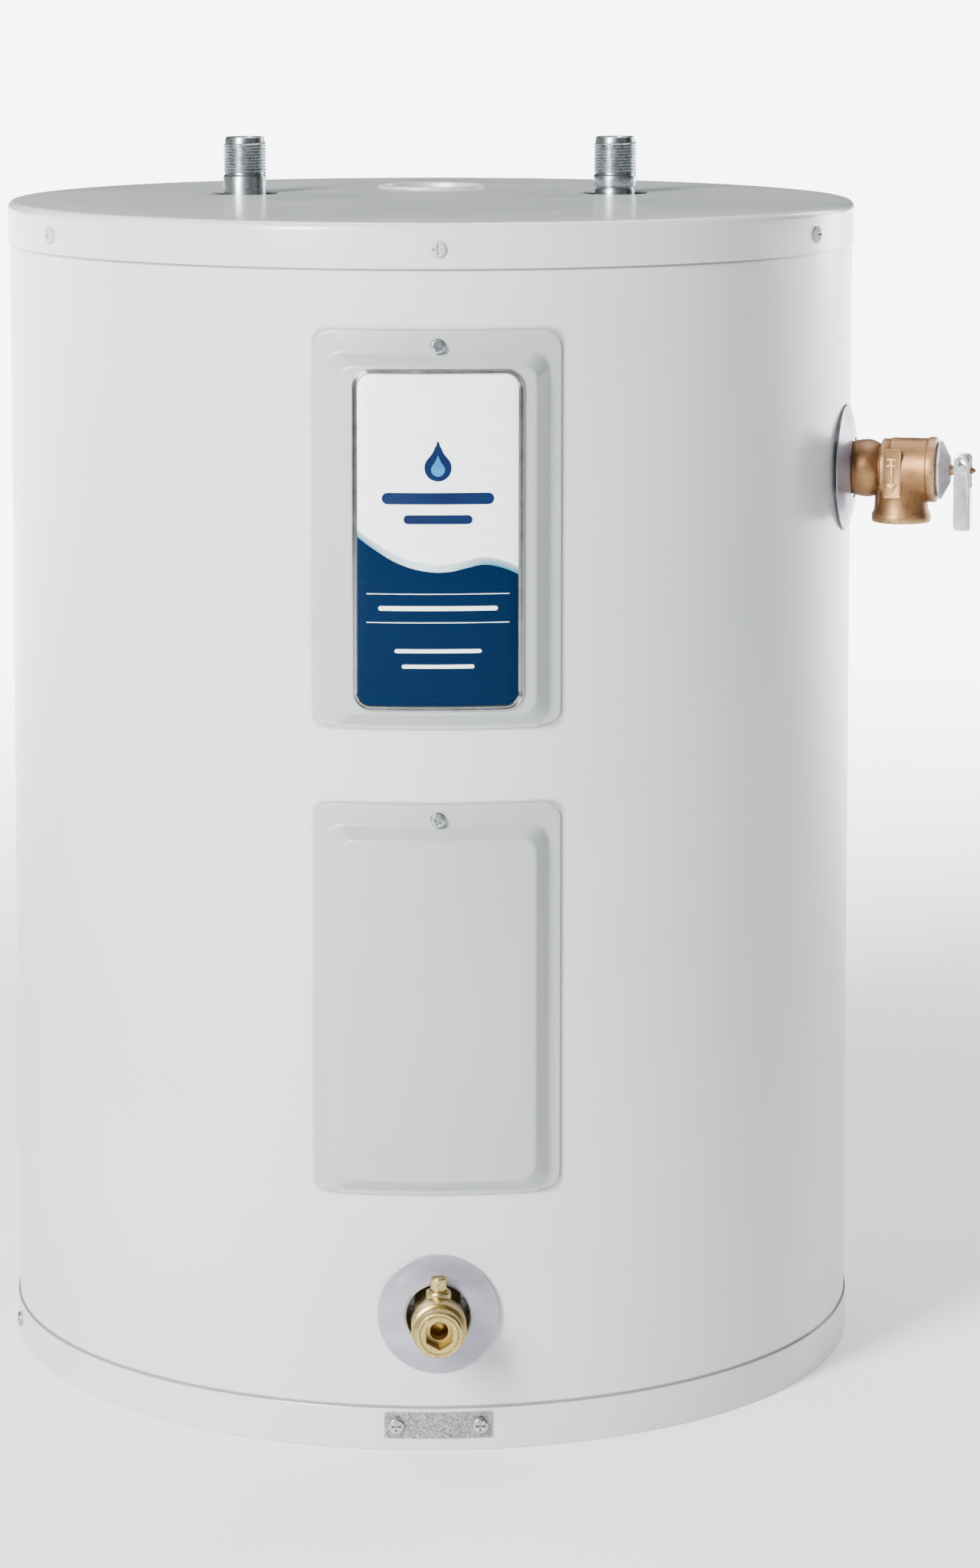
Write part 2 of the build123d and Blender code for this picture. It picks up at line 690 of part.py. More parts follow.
nodes = {
    "jacket": make_jacket(),
    "top_pan": make_top_pan(),
    "base_pan": make_base_pan(),
    "lid_screws": make_lid_screws(),
    "base_screws": make_base_screws(),
    "base_splice_plate": make_splice_plate(),
    "base_splice_screws": make_splice_screws(),
    "tank_shell": make_tank_shell(),
    "tank_top_head": make_tank_top_head(),
    "tank_bottom_head": make_tank_bottom_head(),
    "tank_support_ring": make_tank_support(),
    "pipe_spuds": make_pipe_spuds(),
    "element_spuds": make_element_spuds(),
    "foam_insulation": make_foam(),
    "bay_liners": make_bay_liners(),
    "wiring_cup": make_wiring_cup(),
    "junction_can": make_junction_can(),
    "wire_conduit": make_wire_conduit(),
    "supply_wires": make_supply_wires(),
    "link_wires": make_link_wires(),
    "element_leads": make_element_leads(),
    "element_gaskets": make_element_gaskets(),
    "upper_element_head": make_element_head("upper"),
    "lower_element_head": make_element_head("lower"),
    "upper_element_loop": make_element_loop("upper"),
    "lower_element_loop": make_element_loop("lower"),
    "upper_thermostat": make_thermostat("upper"),
    "lower_thermostat": make_thermostat("lower"),
    "terminal_screws": make_terminal_screws(),
    "thermostat_brackets": make_thermostat_brackets(),
    "upper_dial": make_dial("upper"),
    "lower_dial": make_dial("lower"),
    "reset_button": make_reset_button(),
    "upper_cover": make_cover("upper"),
    "lower_cover": make_cover("lower"),
    "upper_cover_screw": make_cover_screw("upper"),
    "lower_cover_screw": make_cover_screw("lower"),
    "upper_cover_pad": make_cover_pad("upper"),
    "lower_cover_pad": make_cover_pad("lower"),
    "badge_frame": make_badge_frame(),
    "badge_plate": make_badge_plate(),
    "cold_nipple": make_cold_nipple(),
    "hot_nipple": make_hot_nipple(),
    "nipple_gaskets": make_nipple_gaskets(),
    "dip_tube": make_dip_tube(),
    "anode_rod": make_anode_rod(),
    "anode_core": make_anode_core(),
    "anode_carrier": make_anode_carrier(),
    "relief_escutcheon": lying(make_escutcheon(37.6, 17.4, 5.4, 19.5)),
    "relief_body": make_relief_body(),
    "relief_probe": make_relief_probe(),
    "relief_bonnet": make_relief_bonnet(),
    "relief_spring": make_relief_spring(),
    "relief_stem": make_relief_stem(),
    "relief_lever_pin": make_lever_pin(),
    "relief_lever": make_relief_lever(),
    "drain_escutcheon": forward(make_escutcheon(34.2, 18.0, 5.0, 20.5), drain_z),
    "drain_body": make_drain_body(),
    "drain_ball_and_stem": Compound([make_drain_ball(), make_drain_stem()]),
    "drain_seats_and_packing": Compound(list(make_drain_seats().solids()) + [make_drain_packing()]),
}

os.makedirs("parts", exist_ok=True)
for name, shape in nodes.items():
    export_step(shape, f"parts/{name}.step")
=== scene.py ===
import json
import math

import bmesh
import bpy
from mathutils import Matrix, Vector


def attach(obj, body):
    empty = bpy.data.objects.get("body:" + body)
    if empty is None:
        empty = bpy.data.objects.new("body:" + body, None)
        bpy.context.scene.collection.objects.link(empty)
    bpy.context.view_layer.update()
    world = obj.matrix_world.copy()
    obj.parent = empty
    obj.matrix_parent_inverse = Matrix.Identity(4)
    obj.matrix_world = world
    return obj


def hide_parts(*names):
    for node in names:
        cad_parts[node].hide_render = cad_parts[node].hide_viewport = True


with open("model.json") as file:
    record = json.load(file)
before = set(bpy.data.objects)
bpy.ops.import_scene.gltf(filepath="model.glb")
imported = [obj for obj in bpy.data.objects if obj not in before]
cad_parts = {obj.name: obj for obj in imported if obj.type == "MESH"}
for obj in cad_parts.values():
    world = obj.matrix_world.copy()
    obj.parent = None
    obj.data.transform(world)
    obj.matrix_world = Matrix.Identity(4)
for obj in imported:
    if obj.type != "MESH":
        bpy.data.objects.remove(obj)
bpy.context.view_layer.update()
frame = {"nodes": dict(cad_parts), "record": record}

mm = 0.001
jacketRadius = 254.0
panRadius = 255.2
reliefAngle = -15.0
reliefHeight = 535.0
drainHeight = 79.0
coverHeights = {"upper": 522.7, "lower": 258.85}
mergeGap = 0.002 * mm  # corners closer than this are one


# selecting and finishing

def deselectAll():
    active = bpy.context.view_layer.objects.active
    if active and active.mode != "OBJECT":
        bpy.ops.object.mode_set(mode="OBJECT")
    bpy.ops.object.select_all(action="DESELECT")


def makeActive(piece):
    deselectAll()
    piece.select_set(True)
    bpy.context.view_layer.objects.active = piece


def selectMesh(kind):
    bpy.ops.mesh.select_mode(type=kind)
    bpy.ops.mesh.select_all(action="SELECT")


def startEdit(piece):
    makeActive(piece)
    bpy.ops.object.mode_set(mode="EDIT")
    selectMesh("FACE")


def endEdit():
    bpy.ops.object.mode_set(mode="OBJECT")


def extrude(step):
    bpy.ops.mesh.extrude_region_move(TRANSFORM_OT_translate={"value": step})


def pickFaces(piece, wanted):
    # selects the faces whose middle (mm) and normal pass the test
    cage = bmesh.from_edit_mesh(piece.data)
    for face in cage.faces:
        face.select_set(bool(wanted(face.calc_center_median() / mm, face.normal)))
    bmesh.update_edit_mesh(piece.data)


def applyMove(piece):
    makeActive(piece)
    bpy.ops.object.transform_apply(location=True, rotation=True, scale=True)


def place(piece, at=(0, 0, 0), turn=(0, 0, 0)):
    piece.rotation_euler = [math.radians(a) for a in turn]
    piece.location = [a * mm for a in at]
    applyMove(piece)
    return piece


def layOnRelief(piece):
    # drawn about +Z from the tank's axis, laid out along the relief valve
    return place(piece, (0, 0, reliefHeight), (0, 90, reliefAngle))


def layForward(piece, height, side=0.0):
    # drawn about +Z, laid out of the front
    return place(piece, (side, 0, height), (90, 0, 0))


def addModifier(piece, kind, **values):
    makeActive(piece)
    modifier = piece.modifiers.new(kind.lower(), kind)
    for name, value in values.items():
        setattr(modifier, name, value)
    bpy.ops.object.modifier_apply(modifier=modifier.name)


def roundEdges(piece, width, segments=3, angle=30):
    addModifier(piece, "BEVEL", width=width * mm, segments=segments, limit_method="ANGLE",
                angle_limit=math.radians(angle), harden_normals=False)


def fixNormals(piece):
    startEdit(piece)
    bpy.ops.mesh.remove_doubles(threshold=mergeGap)
    bpy.ops.mesh.normals_make_consistent(inside=False)
    endEdit()


def smoothShade(piece, angle=32):
    makeActive(piece)
    bpy.ops.object.shade_smooth_by_angle(angle=math.radians(angle))


def cutAway(piece, *cutters):
    for cutter in cutters:
        addModifier(piece, "BOOLEAN", operation="DIFFERENCE", solver="EXACT", object=cutter)
        bpy.data.objects.remove(cutter)


def weldOn(piece, *others):
    for other in others:
        addModifier(piece, "BOOLEAN", operation="UNION", solver="EXACT", object=other)
        bpy.data.objects.remove(other)


def joinPieces(pieces, name):
    makeActive(pieces[0])
    for piece in pieces:
        piece.select_set(True)
    if len(pieces) > 1:
        bpy.ops.object.join()
    pieces[0].name = name
    return pieces[0]


def copyPiece(piece, name, at=(0, 0, 0), turn=(0, 0, 0)):
    twin = piece.copy()
    twin.data = piece.data.copy()
    twin.name = name
    bpy.context.scene.collection.objects.link(twin)
    return place(twin, at, turn)


def paint(piece, material):
    piece.data.materials.clear()
    piece.data.materials.append(material)


def finishPiece(piece, name, body, finish, nodes=(), angle=32):
    smoothShade(piece, angle)
    piece.name = name
    piece.data.name = name
    if finish:
        paint(piece, materials[finish])
    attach(piece, body)
    if nodes:
        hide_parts(*nodes)
    return piece


# starting shapes

def addWire(corners):
    # a chain of edges through (radius, height) corners in mm, left selected in edit mode
    deselectAll()
    bpy.ops.mesh.primitive_plane_add(size=mm, location=(0, 0, 0))
    wire = bpy.context.object
    bpy.ops.object.mode_set(mode="EDIT")
    selectMesh("VERT")
    bpy.ops.mesh.merge(type="CENTER")
    bpy.ops.transform.translate(value=(corners[0][0] * mm, 0, corners[0][1] * mm))
    for start, end in zip(corners, corners[1:]):
        step = ((end[0] - start[0]) * mm, 0, (end[1] - start[1]) * mm)
        extrude(step)
    bpy.ops.mesh.select_all(action="SELECT")
    return wire


def spinProfile(profile, steps=96):
    # a closed outline of (radius, height) corners in mm, spun about Z
    piece = addWire(list(profile) + [profile[0]])
    bpy.ops.mesh.spin(steps=steps, angle=math.tau, center=(0, 0, 0), axis=(0, 0, 1))
    endEdit()
    fixNormals(piece)
    return piece


def arc(centre, radius, start, end, count=6):
    # corners along an arc, for an outline
    turns = [math.radians(start + (end - start) * i / count) for i in range(count + 1)]
    return [(centre[0] + radius * math.cos(a), centre[1] + radius * math.sin(a)) for a in turns]


def addRod(radius, low, high, steps=64, bevel=0.0):
    deselectAll()
    bpy.ops.mesh.primitive_cylinder_add(vertices=steps, radius=radius * mm, depth=(high - low) * mm,
                                        location=(0, 0, (low + high) / 2 * mm))
    rod = bpy.context.object
    applyMove(rod)
    if bevel:
        roundEdges(rod, bevel)
    return rod


def addBlock(size, at=(0, 0, 0), bevel=0.0, segments=2):
    deselectAll()
    bpy.ops.mesh.primitive_cube_add(size=1, location=[a * mm for a in at])
    block = bpy.context.object
    block.scale = [a * mm for a in size]
    applyMove(block)
    if bevel:
        roundEdges(block, bevel, segments)
    return block


def addSheet(width, height, corner, middle=0.0, segments=6):
    # an upright rounded rectangle at y = 0 that faces -Y
    deselectAll()
    bpy.ops.mesh.primitive_plane_add(size=1, rotation=(math.pi / 2, 0, 0))
    sheet = bpy.context.object
    sheet.scale = (width * mm, height * mm, 1)
    sheet.location = (0, 0, middle * mm)
    applyMove(sheet)
    startEdit(sheet)
    selectMesh("VERT")
    bpy.ops.mesh.bevel(offset=corner * mm, segments=segments, affect="VERTICES")
    endEdit()
    return sheet


def addSlab(width, height, corner, thick, middle=0.0, segments=6):
    slab = addSheet(width, height, corner, middle, segments)
    startEdit(slab)
    extrude((0, -thick * mm, 0))
    endEdit()
    fixNormals(slab)
    return slab


def sinkFront(slab, edge, depth):
    # insets the face towards -Y and pushes it in
    startEdit(slab)
    pickFaces(slab, lambda middle, normal: normal.y < -0.9)
    bpy.ops.mesh.inset(thickness=edge * mm)
    bpy.ops.transform.translate(value=(0, depth * mm, 0))
    endEdit()


def wrapRound(piece, radius, strip=3.0):
    # cuts a flat piece into upright strips and bends it round the tank; y = 0 lands on the radius
    startEdit(piece)
    half = max(abs(vertex.co.x) for vertex in piece.data.vertices)
    count = math.floor(half / mm / strip)
    for i in range(-count, count + 1):
        bpy.ops.mesh.select_all(action="SELECT")
        bpy.ops.mesh.bisect(plane_co=(i * strip * mm, 0, 0), plane_no=(1, 0, 0))
    endEdit()
    addModifier(piece, "SIMPLE_DEFORM", deform_method="BEND", deform_axis="Z",
                angle=2 * half / (radius * mm))
    return place(piece, (0, -radius, 0))


# shader groups, made once and shared

def newGroup(name, inputs, outputs):
    group = bpy.data.node_groups.new(name, "ShaderNodeTree")
    for label, value in inputs.items():
        socket = group.interface.new_socket(name=label, in_out="INPUT", socket_type="NodeSocketFloat")
        socket.default_value = value
    for label in outputs:
        group.interface.new_socket(name=label, in_out="OUTPUT", socket_type="NodeSocketFloat")
    return group, group.nodes.new("NodeGroupInput"), group.nodes.new("NodeGroupOutput")


def addNode(tree, kind, **values):
    node = tree.nodes.new(kind)
    for name, value in values.items():
        if name in node.inputs:
            node.inputs[name].default_value = value
        else:
            setattr(node, name, value)
    return node


def mathNode(tree, operation, first, second=None, third=None, clamp=False):
    node = tree.nodes.new("ShaderNodeMath")
    node.operation = operation
    node.use_clamp = clamp
    for socket, value in zip(node.inputs, (first, second, third)):
        if isinstance(value, (int, float)):
            socket.default_value = value
        elif value is not None:
            tree.links.new(value, socket)
    return node.outputs[0]


def noiseNode(tree, coords, scale, detail=3.0, rough=0.5, stretch=None):
    if stretch:
        mapping = addNode(tree, "ShaderNodeMapping")
        mapping.inputs["Scale"].default_value = stretch
        tree.links.new(coords, mapping.inputs["Vector"])
        coords = mapping.outputs["Vector"]
    noise = addNode(tree, "ShaderNodeTexNoise", Detail=detail, Roughness=rough)
    if isinstance(scale, (int, float)):
        noise.inputs["Scale"].default_value = scale
    else:
        tree.links.new(scale, noise.inputs["Scale"])
    tree.links.new(coords, noise.inputs["Vector"])
    return noise.outputs["Fac"]


def rampNode(tree, value, low, high):
    node = addNode(tree, "ShaderNodeMapRange", interpolation_type="SMOOTHSTEP")
    node.inputs["From Min"].default_value = low
    node.inputs["From Max"].default_value = high
    tree.links.new(value, node.inputs["Value"])
    return node.outputs["Result"]


def objectCoords(tree):
    return addNode(tree, "ShaderNodeTexCoord").outputs["Object"]


def splitCoords(tree):
    split = addNode(tree, "ShaderNodeSeparateXYZ")
    tree.links.new(objectCoords(tree), split.inputs["Vector"])
    return split.outputs


def groupFrame(name, scale):
    group, start, end = newGroup(name, {"Scale": scale}, ["Shade", "Height"])
    coords = objectCoords(group)
    return group, start, end, coords


def closeGroup(group, end, shade, height):
    group.links.new(shade, end.inputs["Shade"])
    group.links.new(height, end.inputs["Height"])
    return group


def closeMask(group, end, mask, strength):
    group.links.new(mathNode(group, "MULTIPLY", mask, strength, clamp=True), end.inputs["Mask"])
    return group


def makePeel():
    # sprayed enamel: slow clouding and the fine dimple of the paint
    group, start, end, coords = groupFrame("sprayedFinish", 900.0)
    cloud = noiseNode(group, coords, 6.0, 4.0, 0.55)
    dimple = noiseNode(group, coords, start.outputs["Scale"], 2.0, 0.4)
    speck = rampNode(group, noiseNode(group, coords, 420.0, 1.0, 0.5), 0.70, 0.80)
    shade = mathNode(group, "MULTIPLY_ADD", speck, -0.35, rampNode(group, cloud, 0.25, 0.75), clamp=True)
    return closeGroup(group, end, shade, mathNode(group, "MULTIPLY_ADD", cloud, 0.4, dimple))


def makeBrush():
    # turned or rolled metal: fine lines that run round the piece
    group, start, end, coords = groupFrame("turnedLines", 1.0)
    lines = noiseNode(group, coords, 60.0, 6.0, 0.7, (2.0, 2.0, 90.0))
    cloud = noiseNode(group, coords, 140.0, 4.0, 0.6)
    pits = rampNode(group, noiseNode(group, coords, 900.0, 2.0, 0.5), 0.62, 0.74)
    shade = mathNode(group, "MULTIPLY_ADD", cloud, 0.7, mathNode(group, "MULTIPLY", lines, 0.35))
    lines = mathNode(group, "MULTIPLY", lines, start.outputs["Scale"])
    height = mathNode(group, "MULTIPLY_ADD", pits, -0.5, lines)
    return closeGroup(group, end, rampNode(group, shade, 0.25, 0.8), height)


def makeCasting():
    # sand casting: coarse grain over slow hollows
    group, start, end, coords = groupFrame("sandCasting", 1400.0)
    grain = noiseNode(group, coords, start.outputs["Scale"], 3.0, 0.6)
    hollow = noiseNode(group, coords, 120.0, 4.0, 0.6)
    tarnish = noiseNode(group, coords, 45.0, 5.0, 0.65)
    shade = mathNode(group, "MULTIPLY_ADD", grain, 0.35, mathNode(group, "MULTIPLY", tarnish, 0.65))
    height = mathNode(group, "MULTIPLY_ADD", hollow, 0.8, grain)
    return closeGroup(group, end, rampNode(group, shade, 0.3, 0.7), height)


def makeSpangle():
    # hot-dip zinc: crystal patches with a fine sand over them
    group, start, end, coords = groupFrame("zincSpangle", 260.0)
    cells = addNode(group, "ShaderNodeTexVoronoi", feature="F1")
    group.links.new(coords, cells.inputs["Vector"])
    group.links.new(start.outputs["Scale"], cells.inputs["Scale"])
    tone = addNode(group, "ShaderNodeSeparateColor")
    group.links.new(cells.outputs["Color"], tone.inputs["Color"])
    sand = noiseNode(group, coords, 1900.0, 3.0, 0.6)
    shade = mathNode(group, "MULTIPLY_ADD", sand, 0.5, mathNode(group, "MULTIPLY", tone.outputs["Red"], 0.5))
    height = mathNode(group, "MULTIPLY_ADD", tone.outputs["Red"], 0.2, sand)
    return closeGroup(group, end, rampNode(group, shade, 0.2, 0.8), height)


def makeMoulding():
    # moulded plastic or rubber: a matte texture with faint flow marks
    group, start, end, coords = groupFrame("mouldedSkin", 1800.0)
    skin = noiseNode(group, coords, start.outputs["Scale"], 2.0, 0.5)
    flow = noiseNode(group, coords, 30.0, 3.0, 0.5, (1.0, 1.0, 3.0))
    return closeGroup(group, end, rampNode(group, flow, 0.3, 0.7), skin)


def makeFibre():
    # wool batting or cut foam: tangled threads and open pores
    group, start, end, coords = groupFrame("tangledFibre", 260.0)
    threads = noiseNode(group, coords, start.outputs["Scale"], 8.0, 0.75, (1.0, 4.0, 1.0))
    across = noiseNode(group, coords, start.outputs["Scale"], 8.0, 0.75, (4.0, 1.0, 1.5))
    pores = rampNode(group, noiseNode(group, coords, 700.0, 3.0, 0.6), 0.55, 0.75)
    both = mathNode(group, "MULTIPLY_ADD", threads, 0.5, mathNode(group, "MULTIPLY", across, 0.5))
    height = mathNode(group, "MULTIPLY_ADD", pores, -0.4, both)
    return closeGroup(group, end, rampNode(group, both, 0.35, 0.65), height)


def makeEdgeWear():
    # a mask of the sticking-out edges, broken up by noise
    group, start, end = newGroup("edgeWear", {"Sharpness": 0.5}, ["Mask"])
    coords = objectCoords(group)
    pointed = addNode(group, "ShaderNodeNewGeometry").outputs["Pointiness"]
    edge = rampNode(group, pointed, 0.51, 0.57)
    broken = rampNode(group, noiseNode(group, coords, 500.0, 4.0, 0.7), 0.3, 0.6)
    worn = mathNode(group, "MULTIPLY", edge, broken)
    return closeMask(group, end, worn, start.outputs["Sharpness"])


def makeDust():
    # dust that settles on what faces up, and thins out over the sides
    group, start, end = newGroup("settledDust", {"Amount": 0.2}, ["Mask"])
    geometry = addNode(group, "ShaderNodeNewGeometry")
    split = addNode(group, "ShaderNodeSeparateXYZ")
    group.links.new(geometry.outputs["Normal"], split.inputs["Vector"])
    coords = objectCoords(group)
    up = rampNode(group, split.outputs["Z"], 0.2, 1.0)
    patches = rampNode(group, noiseNode(group, coords, 24.0, 6.0, 0.7), 0.35, 0.75)
    film = mathNode(group, "MULTIPLY", up, patches)
    return closeMask(group, end, film, start.outputs["Amount"])


patterns = {"peel": makePeel(), "brush": makeBrush(), "casting": makeCasting(),
            "spangle": makeSpangle(), "moulding": makeMoulding(), "fibre": makeFibre()}
edgeWear = makeEdgeWear()
settledDust = makeDust()


# materials

def mixColor(tree, factor, first, second):
    node = tree.nodes.new("ShaderNodeMix")
    node.data_type = "RGBA"
    for socket, value in ((node.inputs["Factor"], factor), (node.inputs["A"], first),
                          (node.inputs["B"], second)):
        if hasattr(value, "links"):
            tree.links.new(value, socket)
        else:
            socket.default_value = value
    return node.outputs["Result"]


def rgb(*values):
    return (*values, 1.0)


# dust on what faces up, painted shade lines at the pans' edges and a painted shadow line round the covers, in
# mm
dustAndShadeLook = {
    "dust": (0.55, 0.53, 0.50), "dustRough": 0.3,
    # painted shade lines at the pans' edges
    "seam": (0.24, 0.24, 0.23), "seamOuter": 1.3, "seamInner": 0.3,
    # the painted shadow round each cover: its colour, outline, shift to the right and down, and spread
    "coverShadow": (0.15, 0.15, 0.15), "halfWidth": 68.6, "halfHeight": 110.2, "corner": 6.5,
    "right": 0.4, "drop": 0.5, "spread": 3.2, "most": 0.55, "fade": 50.0, "under": 2.0,
}


def paintedCoverShadow(tree, middle):
    # the mask of the painted shadow line round one cover, wider below and to the right
    look = dustAndShadeLook
    coords = splitCoords(tree)
    squares = []
    for axis, centre, half in (("X", look["right"], look["halfWidth"]),
                               ("Z", middle - look["drop"], look["halfHeight"])):
        side = mathNode(tree, "ABSOLUTE", mathNode(tree, "SUBTRACT", coords[axis], centre * mm))
        past = mathNode(tree, "SUBTRACT", side, (half - look["corner"]) * mm)
        past = mathNode(tree, "MAXIMUM", past, 0.0)
        squares.append(mathNode(tree, "MULTIPLY", past, past))
    reach = mathNode(tree, "SQRT", mathNode(tree, "ADD", *squares))
    away = mathNode(tree, "SUBTRACT", reach, look["corner"] * mm)
    near = rampNode(tree, away, look["spread"] * mm, 0.0)
    edge = rampNode(tree, away, -look["under"] * mm, -0.4 * mm)
    front = rampNode(tree, coords["Y"], 0.0, -look["fade"] * mm)
    line = mathNode(tree, "MULTIPLY", near, edge)
    return mathNode(tree, "MULTIPLY", mathNode(tree, "MULTIPLY", line, front), look["most"])


def paintedSeamShade(tree, height):
    # the mask of a painted shade line at one height
    away = mathNode(tree, "SUBTRACT", splitCoords(tree)["Z"], height * mm)
    return rampNode(tree, mathNode(tree, "ABSOLUTE", away), dustAndShadeLook["seamOuter"] * mm,
                    dustAndShadeLook["seamInner"] * mm)


def startMaterial(name):
    material = bpy.data.materials.new(name)
    material.use_nodes = True
    return material, material.node_tree, material.node_tree.nodes["Principled BSDF"]


def addBump(tree, shader, height, strength, distance=0.0002):
    bump = addNode(tree, "ShaderNodeBump", Strength=strength, Distance=distance)
    tree.links.new(height, bump.inputs["Height"])
    tree.links.new(bump.outputs["Normal"], shader.inputs["Normal"])


def buildMaterial(name, row):
    patternName, dark, light, (smooth, rough), bumpStrength, extra = row
    material, tree, shader = startMaterial(name)
    pattern = addNode(tree, "ShaderNodeGroup", node_tree=patterns[patternName])
    if "scale" in extra:
        pattern.inputs["Scale"].default_value = extra["scale"]
    shade = pattern.outputs["Shade"]
    color = mixColor(tree, shade, rgb(*dark), rgb(*light))
    if "wear" in extra:
        worn = addNode(tree, "ShaderNodeGroup", node_tree=edgeWear)
        worn.inputs["Sharpness"].default_value = extra["wear"]
        color = mixColor(tree, worn.outputs["Mask"], color, rgb(*extra["wornColor"]))
    dust = addNode(tree, "ShaderNodeGroup", node_tree=settledDust)
    dust.inputs["Amount"].default_value = extra.get("dust", 0.12)
    color = mixColor(tree, dust.outputs["Mask"], color, rgb(*dustAndShadeLook["dust"]))
    # painted shade lines just under the lid's skirt and just over the base pan
    for height in extra.get("shadeSeams", []):
        color = mixColor(tree, paintedSeamShade(tree, height), color, rgb(*dustAndShadeLook["seam"]))
    # painted shadow lines round the covers, wider below and to the right
    for middle in extra.get("shadowFrames", []):
        color = mixColor(tree, paintedCoverShadow(tree, middle), color, rgb(*dustAndShadeLook["coverShadow"]))
    tree.links.new(color, shader.inputs["Base Color"])
    spread = mathNode(tree, "MULTIPLY_ADD", shade, rough - smooth, smooth)
    dull = mathNode(tree, "MULTIPLY_ADD", dust.outputs["Mask"], dustAndShadeLook["dustRough"], spread, clamp=True)
    tree.links.new(dull, shader.inputs["Roughness"])
    addBump(tree, shader, pattern.outputs["Height"], bumpStrength, extra.get("depth", 0.0002))
    for socket, key, usual in (("Metallic", "metal", 0.0), ("Coat Weight", "coat", 0.0),
                               ("Coat Roughness", "coatRough", 0.2), ("Sheen Weight", "sheen", 0.0),
                               ("Specular IOR Level", "gloss", 0.5)):
        shader.inputs[socket].default_value = extra.get(key, usual)
    return material


